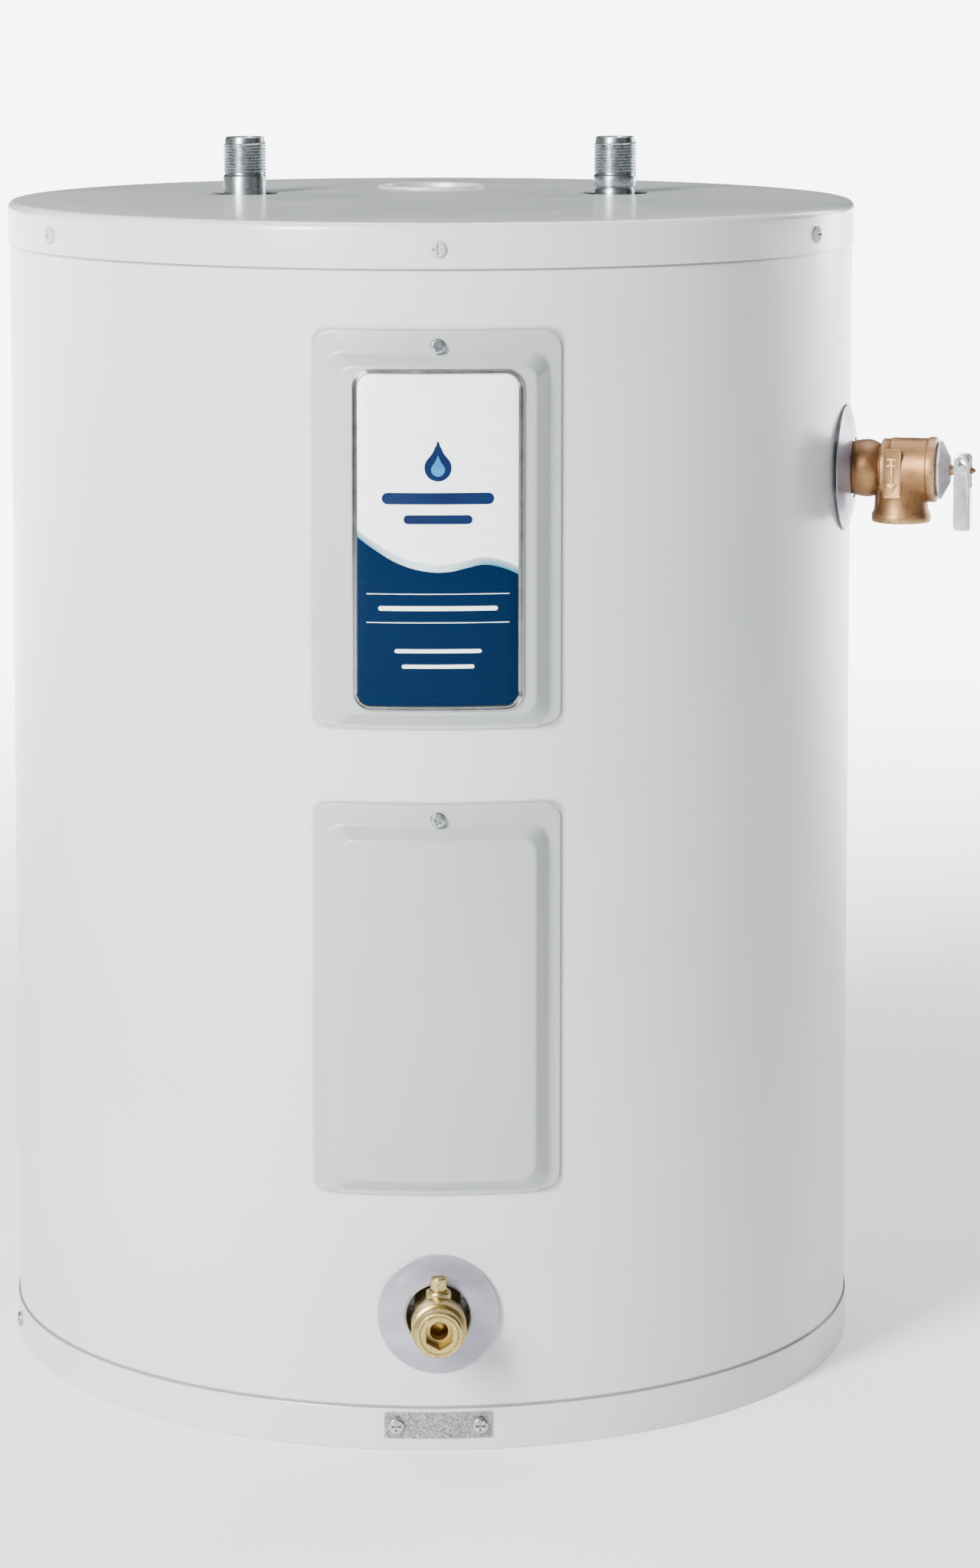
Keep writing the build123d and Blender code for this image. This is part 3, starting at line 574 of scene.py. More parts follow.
# one row for each: pattern, darker and lighter colour, roughness from and to, bump, and the rest
finishes = {
    "jacketPaint": ("peel", (0.56, 0.6, 0.612), (0.61, 0.645, 0.655), (0.28, 0.34), 0.05,
                    # painted shade lines under the lid's skirt and over the base pan
                    {"coat": 0.35, "coatRough": 0.16, "dust": 0.05, "shadeSeams": (666.0, 25.0),
                     # painted shadows round both covers
                     "shadowFrames": tuple(coverHeights.values())}),
    # a darker copy of the jacket's paint: painted shade on the covers and their lips
    "shadedCoverPaint": ("peel", (0.355, 0.383, 0.39), (0.388, 0.414, 0.42), (0.34, 0.42), 0.06,
                   {"coat": 0.25, "coatRough": 0.2, "dust": 0.05, "wear": 0.25,
                    "wornColor": (0.78, 0.79, 0.79)}),
    "lidPaint": ("peel", (0.545, 0.585, 0.6), (0.6, 0.635, 0.645), (0.26, 0.34), 0.05,
                 {"coat": 0.4, "coatRough": 0.14, "dust": 0.1}),
    "screwPaint": ("peel", (0.4, 0.42, 0.42), (0.52, 0.54, 0.54), (0.35, 0.5), 0.1,
                   {"coat": 0.2, "wear": 0.8, "wornColor": (0.4, 0.41, 0.42)}),
    "zincPlate": ("brush", (0.2, 0.22, 0.23), (0.46, 0.49, 0.51), (0.2, 0.36), 0.12,
                  {"metal": 1.0, "wear": 0.6, "wornColor": (0.85, 0.87, 0.88)}),
    "threadZinc": ("brush", (0.19, 0.215, 0.23), (0.27, 0.3, 0.32), (0.26, 0.32), 0.03,
                   {"metal": 1.0, "wear": 0.6, "wornColor": (0.88, 0.9, 0.91)}),
    "cupZinc": ("brush", (0.5, 0.52, 0.53), (0.66, 0.68, 0.69), (0.35, 0.5), 0.05, {"metal": 0.4}),
    "galvanised": ("spangle", (0.16, 0.165, 0.155), (0.44, 0.45, 0.43), (0.36, 0.58), 0.5,
                   {"scale": 1100.0, "depth": 0.0003, "metal": 0.85, "wear": 0.5,
                    "wornColor": (0.75, 0.76, 0.75)}),
    "tankSteel": ("casting", (0.03, 0.035, 0.04), (0.08, 0.085, 0.09), (0.5, 0.75), 0.3, {"metal": 0.3}),
    "bronzeCast": ("casting", (0.185, 0.088, 0.036), (0.385, 0.21, 0.098), (0.34, 0.56), 0.35,
                   {"metal": 0.92, "wear": 0.8, "wornColor": (0.74, 0.5, 0.28)}),
    "brassTurned": ("brush", (0.25, 0.17, 0.042), (0.44, 0.325, 0.105), (0.26, 0.38), 0.15,
                    {"metal": 1.0, "wear": 0.6, "wornColor": (0.74, 0.6, 0.28)}),
    "chromeTrim": ("brush", (0.26, 0.27, 0.28), (0.42, 0.43, 0.44), (0.05, 0.12), 0.02,
                   {"metal": 1.0, "wear": 0.4, "wornColor": (0.95, 0.95, 0.96)}),
    "paleRosette": ("moulding", (0.285, 0.278, 0.345), (0.35, 0.343, 0.415), (0.26, 0.36), 0.06,
                    {"metal": 0.35, "coat": 0.3, "wear": 0.4, "wornColor": (0.9, 0.9, 0.93)}),
    "speckledEnamel": ("casting", (0.05, 0.035, 0.045), (0.56, 0.49, 0.53), (0.4, 0.7), 0.4,
                       {"scale": 2200.0, "wear": 0.5, "wornColor": (0.8, 0.78, 0.78)}),
    "darkRubber": ("moulding", (0.035, 0.036, 0.038), (0.07, 0.07, 0.072), (0.55, 0.75), 0.2, {}),
    "cutFoam": ("fibre", (0.62, 0.52, 0.3), (0.86, 0.78, 0.52), (0.8, 0.95), 0.7,
                {"scale": 500.0, "depth": 0.0006}),
    "woolBatting": ("fibre", (0.66, 0.56, 0.22), (0.93, 0.86, 0.52), (0.85, 1.0), 0.9,
                    {"scale": 170.0, "depth": 0.0012, "sheen": 0.4}),
    "linerPlastic": ("moulding", (0.66, 0.66, 0.63), (0.78, 0.78, 0.75), (0.42, 0.55), 0.12, {}),
    "blackPhenolic": ("moulding", (0.018, 0.018, 0.02), (0.045, 0.045, 0.05), (0.35, 0.5), 0.15,
                      {"coat": 0.2}),
    "whiteNylon": ("moulding", (0.74, 0.74, 0.71), (0.86, 0.86, 0.83), (0.35, 0.48), 0.1, {}),
    "redButton": ("moulding", (0.42, 0.02, 0.018), (0.62, 0.05, 0.04), (0.25, 0.38), 0.08, {"coat": 0.3}),
    "blackInsulation": ("moulding", (0.02, 0.02, 0.02), (0.05, 0.05, 0.05), (0.38, 0.5), 0.1, {}),
    "redInsulation": ("moulding", (0.4, 0.02, 0.02), (0.56, 0.05, 0.04), (0.38, 0.5), 0.1, {}),
    "anodeMetal": ("casting", (0.34, 0.35, 0.34), (0.58, 0.59, 0.58), (0.45, 0.65), 0.3, {"metal": 0.9}),
    "printNavy": ("moulding", (0.0, 0.008, 0.045), (0.0, 0.011, 0.056), (0.22, 0.28), 0.02,
                  {"gloss": 0.25, "dust": 0.02}),
    "printBlue": ("moulding", (0.015, 0.13, 0.36), (0.03, 0.2, 0.48), (0.22, 0.28), 0.02,
                  {"gloss": 0.25, "dust": 0.02}),
    "printWhite": ("moulding", (0.8, 0.82, 0.84), (0.86, 0.88, 0.9), (0.22, 0.28), 0.02,
                   {"gloss": 0.25, "dust": 0.02}),
}
materials = {name: buildMaterial(name, row) for name, row in finishes.items()}
print("materials made", len(materials))


# the printed face of the badge: white over navy, parted by a silver wave

badgeLook = {
    "width": 95.0, "height": 189.6, "middle": 517.6, "corner": 10.6, "rim": 3.2,
    "rimRadius": 263.45, "plateRadius": 263.5, "markRadius": 264.36, "plateThick": 0.85, "lap": 0.3,
    "rimRise": 1.1, "ridges": ((0.35, 0.55), (0.45, 0.1), (0.4, -0.7), (0.3, 0.0),
                               (0.4, 0.6), (0.5, 0.05), (0.5, -0.75), (0.4, -0.35)),
    "wave": [(0.0, 521.5), (0.12, 513.8), (0.26, 506.8), (0.42, 502.8), (0.56, 502.4),
             (0.68, 504.6), (0.78, 506.3), (0.88, 505.0), (1.0, 500.6)],
    "waveLow": 480.0, "waveHigh": 540.0, "bandThick": 4.0, "bandInner": 0.48, "bandOuter": 0.54,
    "shineAt": 0.42, "shineReach": 0.45,
    "navy": ((0.0, 0.0098, 0.037), (0.0, 0.0102, 0.039)), "white": ((0.90, 0.91, 0.92), (0.95, 0.96, 0.97)),
    "band": ((0.03, 0.20, 0.26), (0.36, 0.42, 0.50)), "shine": (0.50, 0.64, 0.68),
    "inkRough": (0.06, 0.24), "inkGloss": (0.2, 0.05),  # the navy ink is duller than the white
}


def buildBadgePrint():
    look = badgeLook
    material, tree, shader = startMaterial("badgePrint")
    coords = splitCoords(tree)
    half = (look["width"] / 2 - look["rim"]) * mm
    along = mathNode(tree, "MULTIPLY_ADD", coords["X"], 1 / (2 * half), 0.5, clamp=True)
    curve = addNode(tree, "ShaderNodeFloatCurve")
    line = curve.mapping.curves[0]
    span = look["waveHigh"] - look["waveLow"]
    corners = [(x, (z - look["waveLow"]) / span) for x, z in look["wave"]]
    line.points[0].location, line.points[1].location = corners[0], corners[-1]
    for corner in corners[1:-1]:
        line.points.new(*corner)
    curve.mapping.update()
    tree.links.new(along, curve.inputs["Value"])
    crest = mathNode(tree, "MULTIPLY_ADD", curve.outputs["Value"], span * mm, look["waveLow"] * mm)
    above = mathNode(tree, "SUBTRACT", coords["Z"], crest)
    thick = look["bandThick"] * mm
    inner, outer = thick * look["bandInner"], thick * look["bandOuter"]
    whiteMask = rampNode(tree, above, inner, outer)
    navyMask = rampNode(tree, above, -outer, -inner)
    across = mathNode(tree, "MULTIPLY_ADD", above, 1 / thick, 0.5, clamp=True)
    aside = mathNode(tree, "ABSOLUTE", mathNode(tree, "SUBTRACT", along, look["shineAt"]))
    band = mixColor(tree, across, *[rgb(*color) for color in look["band"]])
    band = mixColor(tree, rampNode(tree, aside, look["shineReach"], 0.0), band, rgb(*look["shine"]))
    pattern = addNode(tree, "ShaderNodeGroup", node_tree=patterns["moulding"])
    navy, white = [mixColor(tree, pattern.outputs["Shade"], *[rgb(*color) for color in look[name]])
                   for name in ("navy", "white")]
    color = mixColor(tree, whiteMask, mixColor(tree, navyMask, navy, band), white)
    tree.links.new(color, shader.inputs["Base Color"])
    rough = mathNode(tree, "MULTIPLY_ADD", pattern.outputs["Shade"], *look["inkRough"])
    tree.links.new(rough, shader.inputs["Roughness"])
    gloss = mathNode(tree, "MULTIPLY_ADD", whiteMask, *look["inkGloss"])
    tree.links.new(gloss, shader.inputs["Specular IOR Level"])
    addBump(tree, shader, pattern.outputs["Height"], 0.02)
    return material


materials["badgePrint"] = buildBadgePrint()


# what stays from the CAD gets its finish here

slotFinish = {
    "jacket_paint": "jacketPaint", "galvanised": "galvanised", "zinc_steel": "zincPlate",
    "tank_steel": "tankSteel",
    "bronze": "bronzeCast", "brass": "brassTurned", "chrome_trim": "chromeTrim", "badge_print": "printWhite",
    "escutcheon_plastic": "paleRosette", "lilac_enamel": "speckledEnamel", "dark_rubber": "darkRubber",
    "foam": "cutFoam", "pad_fibre": "woolBatting", "liner_plastic": "linerPlastic",
    "thermostat_plastic": "blackPhenolic", "white_plastic": "whiteNylon", "red_plastic": "redButton",
    "ptfe": "whiteNylon", "wire_black": "blackInsulation", "wire_red": "redInsulation",
    "anode_metal": "anodeMetal",
}
for row in frame["record"]["subparts"]:
    paint(frame["nodes"][row["node"]], materials[slotFinish[row["material_slot"]]])
print("CAD pieces painted", len(frame["nodes"]))


# the jacket, with the two service windows and the holes behind the valves

jacketLook = {"sheet": 0.8, "low": 1.0, "high": 686.0, "steps": 256,
              "windowWidth": 100.0, "windowHeight": 190.0,
              "windowDrop": 3.7, "windowCorner": 1.5, "reliefHole": 20.0, "drainHole": 19.0,
              "seamWidth": 8.5, "seamTall": 641.0, "seamMiddle": 345.5, "seamRise": 0.9, "seamSunk": 0.2,
              "seamFold": 2.2, "seamDip": 0.35}


def buildJacket():
    look = jacketLook
    low, high = look["low"], look["high"]
    deselectAll()
    bpy.ops.mesh.primitive_cylinder_add(
        vertices=look["steps"], radius=jacketRadius * mm, depth=(high - low) * mm,
        end_fill_type="NOTHING", location=(0, 0, (high + low) / 2 * mm))
    shell = bpy.context.object
    applyMove(shell)
    addModifier(shell, "SOLIDIFY", thickness=look["sheet"] * mm, offset=-1, use_even_offset=True)
    cutters = []
    for height in coverHeights.values():
        cutter = addSlab(look["windowWidth"], look["windowHeight"], look["windowCorner"], 60,
                         height - look["windowDrop"], 3)
        cutters.append(place(cutter, (0, -220, 0)))
    cutters.append(layOnRelief(addRod(look["reliefHole"], 230, 275)))
    cutters.append(layForward(addRod(look["drainHole"], 230, 275), drainHeight))
    cutAway(shell, *cutters)
    finishPiece(shell, "jacketShell", "root", "jacketPaint", ["jacket"])
    seam = addSlab(look["seamWidth"], look["seamTall"], 0.6, look["seamRise"] + look["seamSunk"],
                   look["seamMiddle"], 3)
    sinkFront(seam, look["seamFold"], look["seamDip"])
    roundEdges(seam, 0.3, 2)
    place(seam, (0, jacketRadius - look["seamSunk"], 0), (0, 0, 180))
    finishPiece(seam, "jacketLockSeam", "root", "jacketPaint")


lidLook = {"top": 692.0, "skirt": 25.4, "edge": 4.5, "sheet": 0.8, "holeRadius": 21.5, "steps": 256,
           "nippleX": 114.35, "nippleY": 57.0, "cupX": 2.0, "cupY": 131.0, "cupHole": 31.3}


def buildLid():
    look = lidLook
    top, low, edge = look["top"], look["top"] - look["skirt"], look["edge"]
    under = top - look["sheet"]
    outline = [(0, under), (0, top), (120, top), (210, top)]
    outline += arc((panRadius - edge, top - edge), edge, 90, 0, 8)
    outline += [(panRadius, low + 0.5), (panRadius - 0.25, low), (panRadius - 1.0, low)]
    outline += arc((panRadius - edge, top - edge), edge - 1.0, 0, 90, 6)
    lid = spinProfile(outline, look["steps"])
    holes = [place(addRod(look["holeRadius"], 680, 700), (x, look["nippleY"], 0))
             for x in (-look["nippleX"], look["nippleX"])]
    holes.append(place(addRod(look["cupHole"], 680, 700), (look["cupX"], look["cupY"], 0)))
    cutAway(lid, *holes)
    finishPiece(lid, "lidPan", "root", "lidPaint", ["top_pan"], 25)


baseLook = {"skirt": 24.3, "sheet": 0.8, "footEdge": 1.6, "steps": 256}


def buildBase():
    look = baseLook
    foot, skirt = look["footEdge"], look["skirt"]
    outline = [(0, look["sheet"]), (0, 0), (120, 0)] + arc((panRadius - foot, foot), foot, -90, 0, 5)
    outline += [(panRadius, skirt - 0.5), (panRadius - 0.25, skirt), (panRadius - 1.0, skirt)]
    outline += [(panRadius - 1.0, look["sheet"] + 0.8), (panRadius - 1.8, look["sheet"])]
    base = spinProfile(outline, look["steps"])
    finishPiece(base, "basePan", "root", "jacketPaint", ["base_pan"], 25)


buildJacket()
buildLid()
buildBase()
print("casing built")


# service covers: a pressed panel standing up from a thin flange

coverLook = {
    "sheet": 0.9, "radius": 255.15, "width": 138.6, "height": 220.2,
    "footWidth": 124.8, "footHeight": 206.6, "footCorner": 9.5, "footMiddle": -5.5,
    "crestWidth": 106.4, "crestHeight": 193.0, "rise": 8.3, "softCrest": 2.8, "softEdge": 0.25,
    "tabWidth": 114.0, "tabHeight": 9.0, "tabLap": 3.2, "mergeGap": 0.02,
}


def buildPanel(look):
    # the raised part, open at the back
    middle = (0, 0, look["footMiddle"] * mm)
    panel = addSheet(look["footWidth"], look["footHeight"], look["footCorner"], look["footMiddle"], 8)
    startEdit(panel)
    extrude((0, -look["rise"] * mm, 0))
    shrink = (look["crestWidth"] / look["footWidth"], 1, look["crestHeight"] / look["footHeight"])
    bpy.ops.transform.resize(value=shrink, center_override=middle)
    endEdit()
    startEdit(panel)
    pickFaces(panel, lambda middle, normal: abs(middle.y) < 0.01 and abs(normal.y) > 0.9)
    bpy.ops.mesh.delete(type="FACE")
    bpy.ops.mesh.select_all(action="SELECT")
    bpy.ops.mesh.normals_make_consistent(inside=False)
    endEdit()
    return panel


def buildFlange(look):
    # the flat sheet round the panel, grown outwards from the panel's foot
    flange = addSheet(look["footWidth"], look["footHeight"], look["footCorner"], look["footMiddle"], 8)
    startEdit(flange)
    selectMesh("EDGE")
    bpy.ops.mesh.delete(type="ONLY_FACE")
    bpy.ops.mesh.select_all(action="SELECT")
    extrude((0, 0, 0))
    grow = (look["width"] / look["footWidth"], 1, look["height"] / look["footHeight"])
    bpy.ops.transform.resize(value=grow, center_override=(0, 0, look["footMiddle"] * mm))
    bpy.ops.transform.translate(value=(0, 0, -look["footMiddle"] * mm))
    bpy.ops.mesh.select_all(action="SELECT")
    bpy.ops.mesh.normals_make_consistent(inside=False)
    endEdit()
    startEdit(flange)
    cage = bmesh.from_edit_mesh(flange.data)
    if sum(face.normal.y for face in cage.faces) > 0:
        bpy.ops.mesh.flip_normals()
    endEdit()
    return flange


def buildCover(look):
    cover = joinPieces([buildPanel(look), buildFlange(look)], "cover")
    startEdit(cover)
    bpy.ops.mesh.remove_doubles(threshold=look["mergeGap"] * mm)
    endEdit()
    roundEdges(cover, look["softCrest"], 5, 25)
    wrapRound(cover, look["radius"], 2.2)
    addModifier(cover, "SOLIDIFY", thickness=look["sheet"] * mm, offset=-1, use_even_offset=True)
    roundEdges(cover, look["softEdge"], 2, 60)
    return cover


def buildTab(look):
    # the lip that hooks behind the window's lower edge
    tab = addSlab(look["tabWidth"], look["tabHeight"], 1.2, look["sheet"] - 0.1,
                  -look["height"] / 2 + look["tabLap"], 3)
    roundEdges(tab, 0.2, 2)
    return wrapRound(tab, look["radius"] - look["sheet"] + 0.05)


coverMaster = buildCover(coverLook)
tabMaster = buildTab(coverLook)
for which, height in coverHeights.items():
    sheet = copyPiece(coverMaster, which + "Sheet", (0, 0, height))
    lip = copyPiece(tabMaster, which + "Lip", (0, 0, height))
    finishPiece(sheet, which + "CoverPanel", which + "_cover_set",
                "shadedCoverPaint", [which + "_cover"], 40)
    finishPiece(lip, which + "CoverLip", which + "_cover_set", "shadedCoverPaint")
bpy.data.objects.remove(coverMaster)
bpy.data.objects.remove(tabMaster)
print("covers built")


# glass wool behind each cover

padLook = {"width": 88.0, "height": 180.0, "thick": 22.0, "corner": 9.0, "radius": 237.5, "middle": -5.0,
           "soft": 5.0, "mesh": 3.2, "puff": 2.4, "lump": 28.0, "level": 0.62}


def buildPad():
    look = padLook
    pad = addSlab(look["width"], look["height"], look["corner"], look["thick"], look["middle"], 4)
    roundEdges(pad, look["soft"], 3)
    addModifier(pad, "REMESH", mode="VOXEL", voxel_size=look["mesh"] * mm)
    lumps = bpy.data.textures.new("padLumps", "CLOUDS")
    lumps.noise_scale = look["lump"] * mm
    addModifier(pad, "DISPLACE", texture=lumps, strength=look["puff"] * mm, mid_level=look["level"],
                texture_coords="LOCAL")
    addModifier(pad, "SMOOTH", factor=0.5, iterations=4)
    return wrapRound(pad, look["radius"], 6.0)


padMaster = buildPad()
for which, height in coverHeights.items():
    pad = copyPiece(padMaster, which + "Wool", (0, 0, height))
    finishPiece(pad, which + "CoverWool", which + "_cover_set", "woolBatting",
                [which + "_cover_pad"], 60)
bpy.data.objects.remove(padMaster)


# badge: a two-ridge frame round a printed plate

def buildBadgeFrame():
    look = badgeLook
    ring = addSheet(look["width"], look["height"], look["corner"], look["middle"], 10)
    startEdit(ring)
    extrude((0, -look["rimRise"] * mm, 0))
    for step, rise in look["ridges"]:
        bpy.ops.mesh.inset(thickness=step * mm)
        bpy.ops.transform.translate(value=(0, -rise * mm, 0))
    endEdit()
    fixNormals(ring)
    roundEdges(ring, 0.12, 2, 25)
    wrapRound(ring, look["rimRadius"])
    finishPiece(ring, "badgeRim", "upper_cover_set", "chromeTrim", ["badge_frame"], 40)


def buildBadgePlate():
    look = badgeLook
    width, height = [look[side] - 2 * look["rim"] + look["lap"] for side in ("width", "height")]
    plate = addSlab(width, height, look["corner"] - look["rim"], look["plateThick"], look["middle"], 8)
    roundEdges(plate, 0.15, 2)
    wrapRound(plate, look["plateRadius"])
    finishPiece(plate, "badgePlate", "upper_cover_set", "badgePrint", ["badge_plate"])


# plain printed bars under and over the wave, as (height, width, tall, corner, finish)
badgeMarks = [
    (541.0, 62.0, 6.4, 3.1, "printNavy"), (529.4, 38.0, 5.0, 2.4, "printNavy"),
    (488.1, 79.0, 0.45, 0.2, "printWhite"), (472.2, 79.0, 0.45, 0.2, "printWhite"),
    (480.1, 66.0, 2.6, 1.25, "printWhite"),
    (456.4, 48.0, 2.2, 1.05, "printWhite"), (447.8, 40.0, 2.2, 1.05, "printWhite"),
]
dropLook = {"rows": (0.55, 0.75, 0.92, 0.995), "taper": 0.72, "ink": 0.12, "over": 0.08,
            "outer": (15.0, 22.0, "printNavy", 558.0), "inner": (7.6, 11.5, "printBlue", 557.0)}


def buildDrop(width, tall, finish, height):
    # a round mark with its top drawn out to a point
    deselectAll()
    bpy.ops.mesh.primitive_circle_add(vertices=48, radius=width / 2 * mm, fill_type="NGON",
                                      rotation=(math.pi / 2, 0, 0))
    drop = bpy.context.object
    applyMove(drop)
    startEdit(drop)
    bpy.ops.mesh.select_mode(type="VERT")
    for share in dropLook["rows"]:
        reach = width / 2 * mm * math.sqrt(1 - share * share)
        cage = bmesh.from_edit_mesh(drop.data)
        for vertex in cage.verts:
            vertex.select_set(vertex.co.z > 0 and abs(vertex.co.x) < reach)
        bmesh.update_edit_mesh(drop.data)
        bpy.ops.transform.resize(value=(dropLook["taper"], 1, 1), center_override=(0, 0, 0))
        bpy.ops.transform.translate(value=(0, 0, (tall - width) / 4 * mm))
    selectMesh("FACE")
    extrude((0, -dropLook["ink"] * mm, 0))
    endEdit()
    fixNormals(drop)
    place(drop, (0, 0, height))
    paint(drop, materials[finish])
    return drop


def buildBadgeMarks():
    marks = []
    for height, width, tall, corner, finish in badgeMarks:
        mark = addSlab(width, tall, corner, dropLook["ink"], height, 4)
        paint(mark, materials[finish])
        marks.append(mark)
    marks.append(buildDrop(*dropLook["outer"]))
    shine = buildDrop(*dropLook["inner"])
    marks.append(place(shine, (0, -dropLook["over"], 0)))
    sheet = joinPieces(marks, "badgeMarks")
    wrapRound(sheet, badgeLook["markRadius"], 4.0)
    finishPiece(sheet, "badgeMarks", "upper_cover_set", None)


buildBadgeFrame()
buildBadgePlate()
buildBadgeMarks()
print("badge built")


# screws

screwLook = {"hexAcross": 7.0, "hexLow": 0.5, "hexTop": 3.6, "washer": 4.4, "cross": 4.4, "crossWide": 1.0,
             "hexHeights": {"upper": 624.0, "lower": 360.15}, "lidHeight": 677.5, "baseHeight": 13.0,
             "lidAngles": [-90 + 60 * i for i in range(6)], "baseAngles": [11, 101, 191]}


def addCross(length, wide, low, high):
    first = addBlock((length, wide, high - low), (0, 0, (low + high) / 2))
    weldOn(first, addBlock((wide, length, high - low), (0, 0, (low + high) / 2)))
    return first


def buildHexScrew(seat):
    # a hex head on its own washer, with a cross in it
    look = screwLook
    head = addRod(look["hexAcross"] / math.sqrt(3), seat + look["hexLow"], seat + look["hexTop"], 6, 0.45)
    cutAway(head, addCross(look["cross"], look["crossWide"], seat + 2.4, seat + 6))
    edge = look["washer"]
    washer = spinProfile([(0, seat), (edge, seat), (edge + 0.05, seat + 0.35), (edge - 0.3, seat + 0.7),
                          (3.7, seat + 0.95), (0, seat + 0.95)], 40)
    shank = addRod(1.9, seat - 8, seat + 0.4, 24)
    return joinPieces([head, washer, shank], "hexScrew")


def buildPanScrew(radius, rise, seat):
    outline = [(0, 0), (radius - 0.2, 0), (radius, 0.25)]
    outline += arc((radius - rise * 0.7, rise * 0.3), rise * 0.7, 0, 70, 5)
    head = spinProfile([(r, seat + z) for r, z in outline] + [(0, seat + rise)], 40)
    cutAway(head, addCross(radius * 1.25, 1.15, seat + rise - 1.3, seat + rise + 3))
    shank = addRod(1.55, seat - 9, seat + 0.3, 20)
    return joinPieces([head, shank], "panScrew")


def spreadScrews(master, angles, height, name):
    rows = [copyPiece(master, name + str(i), (0, 0, height), (0, 90, angle))
            for i, angle in enumerate(angles)]
    bpy.data.objects.remove(master)
    return joinPieces(rows, name)


hexMaster = buildHexScrew(panRadius)
for which, height in screwLook["hexHeights"].items():
    screw = copyPiece(hexMaster, which + "Screw", (0, 0, height), (90, 20, 0))
    finishPiece(screw, which + "CoverScrew", which + "_cover_set", "zincPlate",
                [which + "_cover_screw"])
bpy.data.objects.remove(hexMaster)

lidScrews = spreadScrews(buildPanScrew(4.8, 2.0, panRadius), screwLook["lidAngles"],
                         screwLook["lidHeight"], "lidScrewHeads")
finishPiece(lidScrews, "lidScrewHeads", "root", "screwPaint", ["lid_screws"], 40)
baseScrews = spreadScrews(buildPanScrew(4.4, 2.0, panRadius), screwLook["baseAngles"],
                          screwLook["baseHeight"], "baseScrewHeads")
finishPiece(baseScrews, "baseScrewHeads", "root", "zincPlate", ["base_screws"], 40)

spliceLook = {"width": 60.7, "height": 14.9, "middle": 15.0, "thick": 1.05, "screwSide": 23.6}


def buildSplice():
    look = spliceLook
    plate = addSlab(look["width"], look["height"], 0.8, look["thick"], look["middle"], 3)
    sinkFront(plate, 1.1, 0.18)
    roundEdges(plate, 0.15, 2)
    wrapRound(plate, panRadius, 2.5)
    finishPiece(plate, "splicePlate", "root", "galvanised", ["base_splice_plate"])
    master = buildPanScrew(4.6, 2.0, panRadius + 0.6)
    heads = [copyPiece(master, "spliceScrew" + str(i), (side, 0, look["middle"]), (90, 0, 0))
             for i, side in enumerate((-look["screwSide"], look["screwSide"]))]
    bpy.data.objects.remove(master)
    screws = joinPieces(heads, "spliceScrewHeads")
    finishPiece(screws, "spliceScrewHeads", "root", "zincPlate", ["base_splice_screws"], 40)


buildSplice()
print("screws built")


# pipe nipples with a cut thread

nippleLook = {
    "bore": 10.2, "barrel": 13.2, "crest": 13.3, "root": 12.25, "pitch": 1.8143, "turns": 10, "steps": 56,
    "foot": 660.0, "low": 703.5, "top": 727.0,
    "grooves": {"hot": [], "cold": [(13.2, 687), (12.4, 691.5), (12.4, 694.3), (11.7, 694.3),
                                    (11.7, 696.3), (13.2, 696.3)]},
}


def buildThread(look):
    # one tooth's outline, wound up the pipe
    low, pitch, root, crest = look["low"] + 0.2, look["pitch"], look["root"], look["crest"]
    tooth = [(root - 0.5, 0.0), (root, 0.05), (crest, pitch * 0.40), (crest, pitch * 0.52),
             (root, pitch * 0.93), (root - 0.5, pitch * 0.98)]
    corners = [(radius, low + height) for radius, height in tooth]
    thread = addWire(corners + corners[:1])
    bpy.ops.mesh.remove_doubles(threshold=mergeGap)
    endEdit()
    addModifier(thread, "SCREW", angle=math.tau, screw_offset=pitch * mm, iterations=look["turns"],
                steps=look["steps"], render_steps=look["steps"], use_merge_vertices=False,
                use_smooth_shade=False)
    startEdit(thread)
    bpy.ops.mesh.remove_doubles(threshold=mergeGap)
    bpy.ops.mesh.select_all(action="DESELECT")
    bpy.ops.mesh.select_mode(type="EDGE")
    bpy.ops.mesh.select_non_manifold()
    bpy.ops.mesh.fill_holes(sides=0)
    bpy.ops.mesh.select_all(action="SELECT")
    bpy.ops.mesh.normals_make_consistent(inside=False)
    endEdit()
    return thread


def buildNipple(which, side):
    look = nippleLook
    foot, low, top = look["foot"], look["low"], look["top"]
    barrel, root, bore = look["barrel"], look["root"], look["bore"]
    outline = [(barrel, foot)] + look["grooves"][which] + [(barrel, low - 1.2), (barrel - 0.2, low - 0.6)]
    outline += [(root, low + 0.2), (root, top - 2.4), (root - 0.6, top - 0.5), (root - 1.1, top - 0.05)]
    outline += [(bore + 0.5, top - 0.05), (bore, top - 0.6), (bore, foot)]
    pipe = spinProfile(outline, 72)
    roundEdges(pipe, 0.2, 2, 35)
    pipe = joinPieces([pipe, buildThread(look)], which + "Nipple")
    place(pipe, (side * lidLook["nippleX"], lidLook["nippleY"], 0))
    finishPiece(pipe, which + "Nipple", "root", "threadZinc", [which + "_nipple"], 28)


buildNipple("hot", -1)
buildNipple("cold", 1)

# the rubber ring seen in each hole of the lid, hollowed round the pipe
sealOutline = [(13.5, 680.2), (21.4, 680.2), (21.4, 688.3), (20.2, 688.4), (17.5, 685.6), (15.0, 685.2),
               (13.5, 687.6)]


def buildHoleSeals():
    rings = []
    for side in (-1, 1):
        ring = spinProfile(sealOutline, 64)
        roundEdges(ring, 0.4, 2)
        rings.append(place(ring, (side * lidLook["nippleX"], lidLook["nippleY"], 0)))
    seals = joinPieces(rings, "holeSeals")
    finishPiece(seals, "holeSeals", "root", "darkRubber", ["nipple_gaskets"], 40)


cupLook = {"radius": 31.0, "flange": 34.5, "top": 692.0, "floor": 679.0, "knockout": 11.1}


